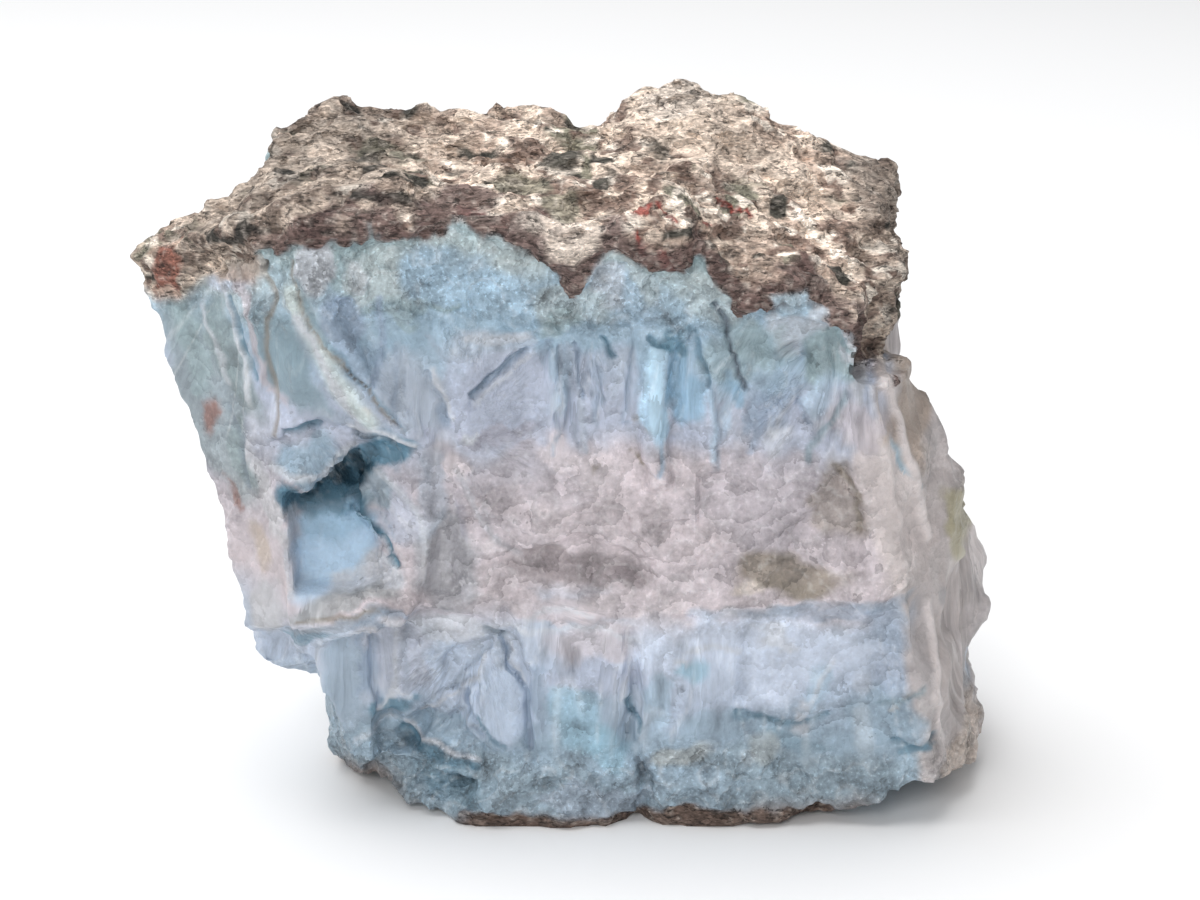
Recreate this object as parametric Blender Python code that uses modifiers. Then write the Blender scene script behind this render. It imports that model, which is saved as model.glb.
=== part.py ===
"""Rough larimar: one broken chunk of a blue pectolite vein with its weathered basalt wall rock.

The stone stands on its lower wall. +X is its width, -Y its broken front face, +Z up, and the
origin is the middle of its box on the ground. Shapes below are in millimetres in that frame.
"""

import bmesh
import bpy
import numpy as np
from mathutils import Vector

MM = 0.001

# Driving dimensions of the stone
WIDTH = 92.0
DEPTH = 44.0
HEIGHT = 74.0
FRONT = -DEPTH / 2
BACK = DEPTH / 2

# How finely the block and then the broken skin are meshed
BLOCK_VOXEL = 1.2
SKIN_VOXEL = 0.9
FACES_KEPT = 0.115

# How deep behind a face its relief still moves the stone
FRONT_REACH = 14.0
CRUST_REACH = 12.0

# Usual depth of the front face behind its plane, and the most that it stands proud of it
LEVEL_DEPTH = 1.1
PROUD_OF_PLANE = 0.4

# Stone left below the ground plane before it is cut flat, and where the sides are full rough
GROUND_ALLOWANCE = 0.8
ROUGH_ABOVE = 3.0

# Each kind of roughness: its size and how strong it is
FRONT_SWELL = (13, 0.5)
FRONT_CHIPS = (4.5, 0.18)
FACET_WAVES = (2.5, 0.12)
CRUST_EDGE_CHIPS = (3.2, 0.36)
CRUST_SWELL = (7, 0.5)
CRUST_CHIPS = (4.2, 0.40)
SIDE_BLOCKS = (9, 0.48)
SIDE_CHIPS = (4.2, 0.30)
EDGE_WANDER = (3.5, 0.45)
CRUST_LIP = 1.0

# A broken facet: how much it tilts, bowls and stands off its neighbours
FACET_TILT = 1.0
FACET_BOWL = 1.0
FACET_STEP = 0.45
FACET_MIDDLE = 0.22

# Flat breaks that bound the main block: a point on each and the way it faces
MAIN_BREAKS = {
    "top wall": ((0, FRONT, 64.8), (0, -0.16, 0.987)),
    "top wall, falling right": ((6.6, FRONT, 64.8), (0.370, -0.293, 0.881)),
    "top wall, falling left": ((-30, -20, 64.3), (-0.487, -0.219, 0.845)),
    "left bevel": ((-27.5, FRONT, 60), (-0.61, -0.79, 0.022)),
    "left end": ((-46.0, -8.2, 57.2), (-0.93, 0.25, -0.355)),
    "right end, upper": ((28.2, FRONT, 51.5), (0.972, -0.231, -0.02)),
    "lower left underside": ((-14.5, -17, 0.6), (-0.48, -0.18, -0.858)),
    "lower right underside": ((17.4, FRONT, 0.0), (0.254, -0.209, -0.944)),
    "back, left": ((-24, BACK, 40), (-0.58, 0.81, 0.05)),
    "back, right": ((22, BACK, 40), (0.48, 0.87, 0.10)),
    "back, top": ((0, BACK, 57), (0.05, 0.72, 0.69)),
    "back, foot": ((0, BACK, 15), (0.10, 0.88, -0.46)),
}
TOP_BREAKS = ("top wall", "top wall, falling right", "top wall, falling left")

# The plate of vein that reaches further right than the crust above it
SIDE_BREAKS = {
    "right end, lower": ((33.6, FRONT, 30), (0.90, -0.41, 0.137)),
    "olive shoulder": ((44.9, -3, 22.5), (0.90, 0.15, 0.41)),
    "right back": ((44.8, 0, 12), (0.97, 0.24, 0.0)),
    "lower right underside": ((17.4, FRONT, 0.0), (0.254, -0.209, -0.944)),
    "side back": ((38, 15, 20), (0.40, 0.90, 0.10)),
}

# The broken-out corner under the left end: what lies below and left of both faces is gone
CORNER_BREAKS = {
    "overhang": ((-32.4, -18.5, 19.0), (0.42, 0.25, 0.87)),
    "leg": ((-27.0, -17, 15), (0.965, 0.06, 0.25)),
}

# The step where the crust's left end lies lower than the rest
SHOULDER_BREAKS = {
    "step": ((-32.9, 5, 66), (0.97, 0.10, -0.20)),
    "shoulder": ((-40, -7, 61.6), (0.52, -0.32, -0.79)),
}

# Shallow hollows in the outer faces: centre, radius, how deep
DENTS = (
    ((-40, -13, 39), 12, 2.9),
    ((36, -2, 54), 7, 2.0),
    ((-17, -18, 2.5), 5, 1.4),
    ((35, 2, 46), 5, 1.6),
    ((44.5, -2, 13), 6, 1.5),
    ((-44, 6, 50), 7, 1.2),
    ((6, 22, 44), 9, 1.6),
    ((-20, 21, 22), 8, 1.4),
)

# Lumps and hollows of the crust: centre x, y, half width x, half width y, height
CRUST_LUMPS = (
    (12.5, 11, 8.5, 9, 4.6),
    (-26.0, 11, 5.0, 7, 1.5),
    (-32.5, 14, 3.5, 6, -2.0),
    (-6.0, 13, 7.0, 5, 0.9),
    (1.8, 9, 2.6, 9, -2.2),
    (20.5, 12, 3.0, 5, -1.2),
    (-20, -14, 9.0, 5, 1.6),
    (1.0, -19, 5.0, 4, -2.2),
    (9.0, -16, 6.0, 5, 1.8),
    (-9.0, -3, 8.0, 4, -1.3),
    (-41.5, -6, 3.5, 5, 1.0),
    (21.0, -12, 6.0, 5, 1.0),
)

# Facets of the front face: depth behind the front plane at the first outline point, depth
# gained a millimetre to the right and a millimetre up, softness of the edge, outline in x, z
FRONT_FACETS = {
    "lower left field": (6.2, -0.14, 0.02, 0.9,
        ((-34, 20.5), (-17, 24.0), (-9, 23.0), (-6.6, 21.6), (-4.8, 15.8), (-4.2, 7.2), (-9.5, 3.6), (-20, -6), (-34, -6))),
    "left block": (0.5, 0.02, 0.0, 0.5,
        ((-30.5, 46), (-21.5, 46.5), (-14.3, 42.7), (-13.6, 33), (-15.9, 25.3), (-28.7, 21.8), (-31, 30))),
    "over the ledge": (1.2, 0.0, -0.12, 0.5,
        ((-29.5, 48.0), (-22.0, 47.0), (-20.5, 43.0), (-28.8, 42.6))),
    "ledge blade": (0.2, 0.0, 0.52, 0.3,
        ((-27.2, 37.9), (-28.6, 38.6), (-30.9, 39.2), (-30.8, 42.2), (-27.3, 43.2), (-25.8, 44.2), (-22.0, 43.1),
         (-22.4, 41.8), (-24.5, 40.0), (-26.0, 38.9))),
    "shaded facet": (4.6, -0.45, 0.0, 0.4,
        ((-22.9, 41.8), (-15.4, 41.8), (-14.8, 37.6), (-18.7, 37.6), (-22.6, 38.6))),
    "cavity": (7.0, 0.0, 0.1, 0.4,
        ((-29.2, 36.6), (-28.0, 36.4), (-26.8, 36.8), (-24.6, 38.6), (-22.6, 40.8), (-20.6, 39.4), (-21.6, 35.6), (-28.6, 33.8))),
    "blue panel": (6.4, -0.06, 0.33, 0.35,
        ((-28.7, 35.0), (-26.8, 35.6), (-24.1, 36.2), (-22.3, 34.1), (-19.6, 30.6), (-18.4, 27.4), (-17.4, 26.6), (-28.7, 25.6))),
    "fan sheet": (4.4, -0.42, 0.06, 0.3,
        ((-22.6, 36.4), (-20.6, 38.4), (-17.1, 37.8), (-15.0, 35.0), (-14.6, 29.9), (-15.4, 27.5), (-18.2, 27.7), (-19.6, 31.3))),
    "rim": (0.5, 0.0, 0.10, 0.35,
        ((-29.1, 26.0), (-23.3, 26.0), (-16.4, 27.6), (-16.1, 25.3), (-20.5, 24.9), (-23.9, 23.8), (-28.0, 22.2), (-29.1, 21.4))),
    "under the rim": (1.0, -0.15, -1.25, 0.35,
        ((-28.4, 22.0), (-24.2, 23.6), (-20.8, 24.7), (-16.1, 25.2), (-16.9, 22.4), (-19.8, 22.0), (-22.4, 21.3), (-25.4, 19.7),
         (-28.4, 17.9), (-30.2, 18.1))),
    "grey recess": (2.8, 0.1, 0.0, 0.6,
        ((-14.4, 33.0), (-12.2, 33.0), (-11.6, 25.6), (-15.4, 25.0))),
    "step right of the strip": (2.4, -0.05, 0.06, 0.6,
        ((-26.8, 58.6), (-13.0, 57.5), (-8.8, 50.0), (-12.4, 43.6), (-16.9, 43.9), (-22.3, 51.5))),
    "white strip": (0.0, 0.01, 0.02, 0.4,
        ((-28.4, 62.4), (-26.6, 62.2), (-22.2, 53.4), (-18.2, 47.2), (-14.4, 42.4), (-17.0, 43.2), (-20.4, 44.4), (-23.2, 49.0))),
    "sugar block": (0.5, 0.0, 0.0, 0.8,
        ((-27.2, 63.6), (-21.8, 64.0), (-21.6, 57.6), (-25.6, 56.8))),
    "under the crust": (2.2, 0.0, -0.04, 1.2,
        ((-21, 62.5), (-12, 64), (-3, 61), (1, 57.6), (5, 61), (9, 59), (17, 56), (27, 55),
         (27, 50.5), (18.5, 51.5), (10.6, 54.5), (-3.7, 53.8), (-13.1, 54.6), (-21, 56))),
    "first vee": (1.5, -0.25, 0.12, 0.35,
        ((-14.0, 49.4), (-9.2, 52.6), (-11.4, 45.2))),
    "second vee": (0.6, 0.28, 0.06, 0.35,
        ((-10.2, 52.2), (-5.7, 52.2), (-11.2, 45.6))),
    "smooth block": (0.6, 0.10, 0.10, 0.35,
        ((-11.0, 44.8), (-5.2, 51.4), (-2.2, 52.4), (-1.5, 42.6), (-9.6, 42.5))),
    "narrow blades": (1.9, -0.12, 0.05, 0.3,
        ((-1.2, 52.6), (2.0, 52.4), (3.2, 47.0), (1.6, 42.6), (-0.9, 42.8))),
    "wedge": (0.5, 0.12, 0.08, 0.35,
        ((2.1, 54.2), (6.1, 54.9), (4.9, 44.8), (3.2, 46.8))),
    "bright blade": (0.2, 0.10, 0.06, 0.3,
        ((6.9, 52.4), (9.8, 52.8), (9.9, 42.7), (8.9, 37.3), (7.1, 38.2))),
    "blue hollow": (3.1, -0.28, 0.10, 0.35,
        ((9.9, 52.2), (11.8, 53.8), (14.0, 48.4), (14.6, 41.7), (12.2, 39.2), (9.8, 40.2))),
    "middle hollow": (2.2, 0.0, 0.12, 0.7,
        ((-7.6, 29.9), (0.7, 31.6), (8.6, 30.2), (7.9, 27.5), (-1.4, 27.7))),
    "first slab": (4.9, -0.10, 0.04, 0.3,
        ((-26.9, 17.0), (-26.4, 18.6), (-22.6, 20.6), (-21.7, 19.2), (-21.6, 13.6), (-20.8, 9.5), (-22.0, 6.8), (-23.7, 5.9),
         (-25.2, 7.0), (-25.6, 9.2), (-26.6, 11.6))),
    "second slab": (5.5, -0.26, 0.03, 0.3,
        ((-21.0, 19.4), (-19.7, 21.4), (-17.0, 21.4), (-13.6, 19.6), (-13.4, 13.3), (-17.0, 12.0), (-18.3, 11.1), (-19.0, 12.4),
         (-20.0, 11.5), (-20.8, 13.5))),
    "ray slab": (4.6, -0.22, 0.08, 0.35,
        ((-16.4, 9.4), (-13.9, 13.5), (-13.5, 18.8), (-8.8, 20.2), (-9.4, 17.0), (-11.0, 12.7))),
    "big slab": (2.6, 0.06, 0.07, 0.3,
        ((-8.3, 20.3), (-7.1, 20.6), (-5.2, 15.2), (-4.6, 7.9), (-6.3, 7.6), (-8.7, 8.4), (-10.7, 12.0), (-10.9, 13.3), (-9.5, 17.8))),
    "left hollow": (7.0, 0.0, 0.0, 0.4,
        ((-20.6, 10.8), (-19.2, 11.9), (-18.4, 10.7), (-15.0, 12.5), (-16.6, 8.5), (-18.1, 6.8), (-20.9, 6.4))),
    "lit facet": (4.6, -0.10, 0.34, 0.3,
        ((-17.6, 8.2), (-16.0, 9.8), (-11.3, 12.6), (-9.9, 8.5), (-10.2, 5.3), (-13.0, 5.8), (-16.1, 7.1))),
    "crevice": (7.2, -0.10, 0.1, 0.4,
        ((-21.6, 5.8), (-17.9, 6.5), (-16.1, 6.4), (-13.2, 5.1), (-10.4, 4.6), (-10.9, 3.2), (-16.3, 2.5), (-21.6, 3.1))),
    "right block, upper": (0.6, 0.02, 0.02, 0.6,
        ((6.8, 22.4), (12.5, 23.4), (17.6, 22.0), (16.4, 17.0), (17.2, 13.8), (11.0, 13.0), (6.6, 14.2))),
    "right block, lower": (1.7, 0.0, -0.05, 0.6,
        ((17.6, 22.4), (25.0, 24.4), (33.4, 23.6), (34.6, 16.0), (28.0, 14.6), (22.5, 16.2), (16.8, 14.2))),
    "low teal": (1.5, 0.0, 0.06, 0.8,
        ((-3.6, 15.2), (5.4, 15.0), (5.8, 3.6), (-4.2, 6.2))),
    "olive patch": (1.9, -0.03, 0.08, 0.9,
        ((16.4, 27.9), (20.4, 32.0), (25.8, 36.4), (27.4, 40.0), (29.3, 36.4), (29.3, 29.5), (27.2, 25.5), (19.2, 25.1))),
    "right strip": (0.2, 0.16, 0.0, 0.5,
        ((28.4, 38.6), (29.7, 43.6), (31.6, 45.4), (34.2, 30.0), (36.4, 24.2), (31.2, 25.5), (29.4, 30.0))),
}

# Cracks of the front face: width, depth, points in x, z
CRACKS = {
    "left crack": (0.9, 1.3, ((-7.2, 24.0), (-6.5, 20.8), (-5.0, 15.8), (-4.4, 7.2))),
    "middle crack": (0.9, 1.6, ((6.0, 22.0), (6.4, 14.7), (5.7, 10.5), (7.8, 5.5), (6.2, -1.0))),
    "sheet crack": (0.5, 0.7, ((-21.5, 37.6), (-17.6, 32.2), (-16.4, 28.8))),
    "right crack": (0.6, 0.8, ((31.0, 18.6), (32.4, 15.4), (35.4, 13.6))),
}

# The notch in the front's lower edge: its middle, half width, depth and height
NOTCH_MIDDLE = 6.2
NOTCH_HALF = 3.2
NOTCH_DEPTH = 3.0
NOTCH_HEIGHT = 4.0

# Where the brown crust starts on the front face, from left to right, in x, z
CRUST_LINE = ((-60, 56), (-36.5, 58.6), (-30.3, 60.9), (-22.2, 62.3), (-19.5, 63.9), (-16, 61.9), (-11.9, 64.3),
    (-2.7, 60.9), (0, 57.3), (3.9, 61.9), (9.4, 59.1), (12.5, 60.9), (16.7, 55.3), (22.8, 57.1),
    (28.6, 52), (33, 47), (60, 44))


def lattice(points, size, seed, shift):
    """Repeatable random numbers for the lattice cell that each point is in, moved by shift cells."""
    cell = np.floor(points / size).astype(np.int64) + shift
    mixed = cell[:, 0] * 73856093 ^ cell[:, 1] * 19349663 ^ cell[:, 2] * 83492791 ^ seed * 2654435761
    numbers = []
    for turn in range(7):
        mixed = (mixed ^ (mixed >> 15)) * 2246822519 + turn & 0xFFFFFFFF
        numbers.append((mixed & 0xFFFFFF) / 0xFFFFFF)
    return cell, np.stack(numbers, axis=1)


def ripple(points, size, seed):
    """Soft waves between -1 and 1, about one hump for each size."""
    inside = points / size - np.floor(points / size)
    blend = inside * inside * (3 - 2 * inside)
    total = np.zeros(len(points))
    for corner in np.ndindex(2, 2, 2):
        _, numbers = lattice(points, size, seed, np.array(corner))
        share = np.prod(np.where(corner, blend, 1 - blend), axis=1)
        total += share * (2 * numbers[:, 0] - 1)
    return total


def fracture(points, size, seed):
    """Broken facets of about that size: each is tilted its own way, and they meet in ridges."""
    lowest = np.full(len(points), np.inf)
    for shift in np.ndindex(3, 3, 3):
        cell, numbers = lattice(points, size, seed, np.array(shift) - 1)
        away = (points - (cell + numbers[:, :3]) * size) / size
        facet = (away * (2 * numbers[:, 3:6] - 1)).sum(axis=1) * FACET_TILT
        facet += FACET_STEP * numbers[:, 6] + FACET_BOWL * (away * away).sum(axis=1)
        lowest = np.minimum(lowest, facet)
    return (lowest - FACET_MIDDLE) * size


def layer(noise, points, kind, seed):
    """One kind of roughness at its own size and strength."""
    size, strength = kind
    return strength * noise(points, size, seed)


def to_segment(x, z, start, end):
    """Distance of each point from a straight line between two points."""
    along = np.array(end, float) - start
    share = ((x - start[0]) * along[0] + (z - start[1]) * along[1]) / (along @ along)
    share = np.clip(share, 0, 1)
    return np.hypot(x - start[0] - share * along[0], z - start[1] - share * along[1])


def inside_share(x, z, outline, softness):
    """1 inside an outline, 0 outside it, and a slope across its edge."""
    distance = np.full(len(x), np.inf)
    within = np.zeros(len(x), bool)
    for start, end in zip(outline, outline[1:] + outline[:1]):
        distance = np.minimum(distance, to_segment(x, z, start, end))
        if start[1] != end[1]:
            crossing = start[0] + (z - start[1]) * (end[0] - start[0]) / (end[1] - start[1])
            within ^= ((start[1] > z) != (end[1] > z)) & (x < crossing)
    signed = np.where(within, distance, -distance)
    share = np.clip(0.5 + signed / (2 * softness), 0, 1)
    return share * share * (3 - 2 * share)


def to_line(x, z, line):
    """Distance of each point from a line of straight pieces."""
    return np.min([to_segment(x, z, start, end) for start, end in zip(line, line[1:])], axis=0)


def front_depth(x, z):
    """How far the front face lies behind its plane."""
    flat = np.stack([x, np.zeros(len(x)), z], axis=1)
    x = x + layer(ripple, flat, EDGE_WANDER, 11)
    z = z + layer(ripple, flat, EDGE_WANDER, 12)
    depth = LEVEL_DEPTH + layer(ripple, flat, FRONT_SWELL, 1) + layer(fracture, flat, FRONT_CHIPS, 2)
    for first, right, up, softness, outline in FRONT_FACETS.values():
        share = inside_share(x, z, outline, softness)
        facet = first + right * (x - outline[0][0]) + up * (z - outline[0][1])
        depth = depth * (1 - share) + (facet + layer(ripple, flat, FACET_WAVES, 3)) * share
    for width, drop, line in CRACKS.values():
        depth += drop * np.clip(1 - to_line(x, z, line) / width, 0, 1)
    across = np.clip(1 - np.abs(x - NOTCH_MIDDLE) / NOTCH_HALF, 0, 1)
    depth += NOTCH_DEPTH * across * np.clip(1 - z / NOTCH_HEIGHT, 0, 1)
    lip = np.clip((z - np.interp(x, *zip(*CRUST_LINE))) / CRUST_LIP, 0, 1)
    depth = depth * (1 - lip) + layer(fracture, flat, CRUST_EDGE_CHIPS, 4) * lip
    return np.maximum(depth, -PROUD_OF_PLANE)


def crust_height(x, y):
    """Lumps, dents and blocky weathering of the crust above its flat wall."""
    flat = np.stack([x, y, np.zeros(len(x))], axis=1)
    height = layer(ripple, flat, CRUST_SWELL, 5) + layer(fracture, flat, CRUST_CHIPS, 6)
    for cx, cy, half_x, half_y, rise in CRUST_LUMPS:
        height += rise * np.exp(-(((x - cx) / half_x) ** 2) - ((y - cy) / half_y) ** 2)
    return height


def below_top(points):
    """Depth of each point below the flat top wall."""
    depths = []
    for name in TOP_BREAKS:
        point, normal = MAIN_BREAKS[name]
        unit = np.array(normal) / np.linalg.norm(normal)
        depths.append((np.array(point) - points) @ unit)
    return np.min(depths, axis=0)


def side_blocks(points):
    """Blocky breaks and shallow hollows of the ends, the back and the underside."""
    height = layer(fracture, points, SIDE_BLOCKS, 7) + layer(fracture, points, SIDE_CHIPS, 8)
    for centre, radius, push in DENTS:
        away = np.linalg.norm(points - centre, axis=1)
        height -= push * np.exp(-((away / radius) ** 2))
    return height


def relief(points, normals):
    """The points of the block moved onto the broken stone."""
    x, y, z = points.T
    front = np.clip(1 - (y - FRONT) / FRONT_REACH, 0, 1)
    top = np.clip(1 - below_top(points) / CRUST_REACH, 0, 1) * np.clip(normals[:, 2] * 2, 0, 1)
    # A side is what faces neither the front nor up, and it is smoother near the ground
    side = np.clip(1.4 - 1.6 * np.maximum(-normals[:, 1], normals[:, 2]), 0, 1)
    side *= np.clip(z / ROUGH_ABOVE, 0.25, 1)
    moved = points + normals * (side_blocks(points) * side)[:, None]
    moved[:, 1] = np.maximum(moved[:, 1], FRONT) + front_depth(x, z) * front
    moved[:, 2] += crust_height(x, y) * top
    moved[:, 1] = np.minimum(moved[:, 1], BACK)
    return moved


def box_mesh(name, low, high):
    """A box between two corners, as an object of its own."""
    bpy.ops.mesh.primitive_cube_add(size=1)
    box = bpy.context.object
    box.name = name
    box.location = [(a + b) / 2 * MM for a, b in zip(low, high)]
    box.scale = [(b - a) * MM for a, b in zip(low, high)]
    bpy.ops.object.transform_apply(location=True, rotation=False, scale=True)
    return box


def break_off(obj, breaks):
    """Cuts a box back to each flat break, and closes the cut."""
    mesh = bmesh.new()
    mesh.from_mesh(obj.data)
    for point, normal in breaks.values():
        everything = mesh.verts[:] + mesh.edges[:] + mesh.faces[:]
        cut = bmesh.ops.bisect_plane(
            mesh, geom=everything, plane_co=Vector(point) * MM, plane_no=Vector(normal), clear_outer=True
        )
        edges = [item for item in cut["geom_cut"] if isinstance(item, bmesh.types.BMEdge)]
        if edges:
            bmesh.ops.edgeloop_fill(mesh, edges=edges)
    bmesh.ops.recalc_face_normals(mesh, faces=mesh.faces[:])
    mesh.to_mesh(obj.data)
    mesh.free()


def add_boolean(obj, other, operation, name):
    modifier = obj.modifiers.new(name, "BOOLEAN")
    modifier.operation = operation
    modifier.object = other
    modifier.solver = "EXACT"


def add_remesh(obj, voxel):
    modifier = obj.modifiers.new("even skin", "REMESH")
    modifier.mode = "VOXEL"
    modifier.voxel_size = voxel * MM


def apply_modifiers(obj):
    """The evaluated shape made the object's own mesh."""
    graph = bpy.context.evaluated_depsgraph_get()
    mesh = bpy.data.meshes.new_from_object(obj.evaluated_get(graph))
    obj.modifiers.clear()
    obj.data = mesh


def as_helper(obj, helpers):
    """A shape that only cuts or joins, kept out of the build."""
    for collection in obj.users_collection:
        collection.objects.unlink(obj)
    helpers.objects.link(obj)
    obj.hide_render = True
    obj.display_type = "WIRE"


def stone_material():
    material = bpy.data.materials.new("larimar")
    material.use_nodes = True
    shader = material.node_tree.nodes["Principled BSDF"]
    shader.inputs["Base Color"].default_value = (0.42, 0.60, 0.68, 1)
    shader.inputs["Roughness"].default_value = 0.45
    shader.inputs["Metallic"].default_value = 0.0
    return material


for old in list(bpy.data.objects):
    bpy.data.objects.remove(old, do_unlink=True)

stone_set = bpy.data.collections.new("larimar")
helpers = bpy.data.collections.new("cutters")
bpy.context.scene.collection.children.link(stone_set)
bpy.context.scene.collection.children.link(helpers)

# The main block, broken flat on every side
half = WIDTH / 2
stone = box_mesh("larimar_rough", (-half - 9, FRONT, -GROUND_ALLOWANCE), (half + 4, BACK, HEIGHT + 6))
break_off(stone, MAIN_BREAKS)

# The plate on its right and the corner that is missing on its left
side_plate = box_mesh("side_plate", (20, FRONT, -GROUND_ALLOWANCE), (half + 4, BACK - 5, 48))
break_off(side_plate, SIDE_BREAKS)
as_helper(side_plate, helpers)
lost_corner = box_mesh("lost_corner", (-70, -40, -20), (0, 40, 40))
break_off(lost_corner, CORNER_BREAKS)
as_helper(lost_corner, helpers)
add_boolean(stone, side_plate, "UNION", "side plate")
add_boolean(stone, lost_corner, "DIFFERENCE", "lost corner")
lost_shoulder = box_mesh("lost_shoulder", (-70, -60, 30), (0, 60, 90))
break_off(lost_shoulder, SHOULDER_BREAKS)
as_helper(lost_shoulder, helpers)
add_boolean(stone, lost_shoulder, "DIFFERENCE", "lost shoulder")
add_remesh(stone, BLOCK_VOXEL)
apply_modifiers(stone)

# The broken faces, ledges, pits and lumps
flat = np.empty(len(stone.data.vertices) * 3)
facing = np.empty(len(stone.data.vertices) * 3)
stone.data.vertices.foreach_get("co", flat)
stone.data.vertices.foreach_get("normal", facing)
moved = relief(flat.reshape(-1, 3) / MM, facing.reshape(-1, 3)) * MM
stone.data.vertices.foreach_set("co", moved.ravel())
stone.data.update()

# An even skin, thinned to flat facets, and the flat of the ground cut last
add_remesh(stone, SKIN_VOXEL)
apply_modifiers(stone)
thin = stone.modifiers.new("facets", "DECIMATE")
thin.ratio = FACES_KEPT
ground = box_mesh("ground", (-80, -60, -30), (80, 60, 0))
as_helper(ground, helpers)
add_boolean(stone, ground, "DIFFERENCE", "standing flat")

stone.data.materials.clear()
stone.data.materials.append(stone_material())
for collection in stone.users_collection:
    collection.objects.unlink(stone)
stone_set.objects.link(stone)
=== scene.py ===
"""Rough larimar: the finished look of one stone, a blue pectolite vein under its weathered wall rock.

The shapes below are in millimetres in the stone's own frame: +X is its width, -Y its broken blue
face, +Z up, and the origin is the middle of its box on the ground.
"""

import math

import bpy
import numpy as np
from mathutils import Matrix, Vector


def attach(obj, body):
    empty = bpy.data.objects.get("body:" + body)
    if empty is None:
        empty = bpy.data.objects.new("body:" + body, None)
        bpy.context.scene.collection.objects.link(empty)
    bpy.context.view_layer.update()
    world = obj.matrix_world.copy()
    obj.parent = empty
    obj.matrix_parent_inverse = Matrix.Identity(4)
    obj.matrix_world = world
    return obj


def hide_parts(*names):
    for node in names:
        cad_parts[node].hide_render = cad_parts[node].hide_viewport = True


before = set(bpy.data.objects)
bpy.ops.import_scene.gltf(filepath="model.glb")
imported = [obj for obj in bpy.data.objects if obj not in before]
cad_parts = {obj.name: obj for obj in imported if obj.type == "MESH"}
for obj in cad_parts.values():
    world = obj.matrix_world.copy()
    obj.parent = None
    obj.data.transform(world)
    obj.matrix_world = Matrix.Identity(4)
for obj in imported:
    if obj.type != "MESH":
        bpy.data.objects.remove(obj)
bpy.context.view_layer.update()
MM = 0.001

# The camera stands in front of the blue face and looks a little down on it. It is placed by the
# point of the front face that it looks at, the distance from there and the angle above level.
LOOK_AT = Vector((2.7, -22.0, 41.7)) * MM
VIEW_DISTANCE = 250 * MM
VIEW_ANGLE = math.radians(17)
LENS = 75

toward_camera = Vector((0, -math.cos(VIEW_ANGLE), math.sin(VIEW_ANGLE)))
camera_place = LOOK_AT + toward_camera * VIEW_DISTANCE
bpy.ops.object.camera_add(location=camera_place, rotation=(math.pi / 2 - VIEW_ANGLE, 0, 0))
camera = bpy.context.object
camera.data.lens = LENS
camera.data.clip_start = 0.01
bpy.context.scene.camera = camera

# The studio: a pale floor that reaches past the view, soft light from a wide panel overhead, a
# weaker panel in front and to the left, and an even pale surround.
FLOOR_SIZE = 6.0
KEY_PANEL = {"size": 1.4, "energy": 17.0, "place": (-0.35, 0.15, 1.25), "aim": (0, 0.1, 0.04)}
FRONT_PANEL = {"size": 0.4, "energy": 2.5, "place": (-0.20, -0.75, 0.50), "aim": (0, 0, 0.04)}
SURROUND = 0.42

bpy.ops.mesh.primitive_plane_add(size=FLOOR_SIZE)
floor = bpy.context.object
floor.name = "floor"
floor_paint = bpy.data.materials.new("pale_floor")
floor_paint.use_nodes = True
floor_shader = floor_paint.node_tree.nodes["Principled BSDF"]
floor_shader.inputs["Base Color"].default_value = (0.90, 0.90, 0.90, 1)
floor_shader.inputs["Roughness"].default_value = 0.9
floor.data.materials.append(floor_paint)

for name, panel in {"key_panel": KEY_PANEL, "front_panel": FRONT_PANEL}.items():
    place = Vector(panel["place"])
    turned = (Vector(panel["aim"]) - place).to_track_quat("-Z", "Y").to_euler()
    bpy.ops.object.light_add(type="AREA", location=place, rotation=turned)
    lamp = bpy.context.object
    lamp.name = name
    lamp.data.shape = "DISK"
    lamp.data.size = panel["size"]
    lamp.data.energy = panel["energy"]

surround = bpy.data.worlds.new("surround")
surround.use_nodes = True
surround.node_tree.nodes["Background"].inputs["Color"].default_value = (0.97, 0.98, 1.0, 1)
surround.node_tree.nodes["Background"].inputs["Strength"].default_value = SURROUND
bpy.context.scene.world = surround
bpy.context.scene.view_settings.view_transform = "Standard"


# The stone is one natural chunk: blue pectolite that grew as fans of fibres between two walls, with
# the brown, weathered basalt still on its top. It was knocked out of the vein, so every side is a
# break. It is broken from a box, moved onto its ledges, pits and lumps, and then given its fibres.
# Driving dimensions of the stone
WIDTH = 92.0
DEPTH = 44.0
HEIGHT = 74.0
HALF = WIDTH / 2
FRONT = -DEPTH / 2
BACK = DEPTH / 2

# How finely the block, then the broken skin are meshed, and the share of the faces kept on each side
BLOCK_VOXEL = 0.75
SKIN_VOXEL = 0.37
SIDE_KEPT = 0.25
TOP_KEPT = 0.58
FRONT_KEPT = 0.82

# For that share the front is what lies before this depth, above this height and turned less to the
# back than this, and the top is what faces up at least this much within this depth of the wall
FRONT_ZONE = -8
FRONT_ABOVE = 0.4
FRONT_TURN = 0.55
TOP_TURN = 0.2
TOP_ZONE = 8

# The corner of the crust that is worn round: its middle, how far around it and how many times
WORN_CORNER = (np.array((-34.0, 12.0, 67.0)), 5.5, 60)

# How deep behind a face its relief still moves the stone
FRONT_REACH = 14.0
CRUST_REACH = 12.0

# Usual depth of the front face behind its plane, and the most that it stands proud of it
LEVEL_DEPTH = 1.1
PROUD_OF_PLANE = 0.4

# Stone left below the ground plane before it is cut flat
GROUND_ALLOWANCE = 0.8

# How a side starts where a face turns away from the front and the top, the height from which it is
# full rough, and how rough it is at least
SIDE_START = (1.4, 1.6)
ROUGH_ABOVE = 3.0
LEAST_ROUGH = 0.25

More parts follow.
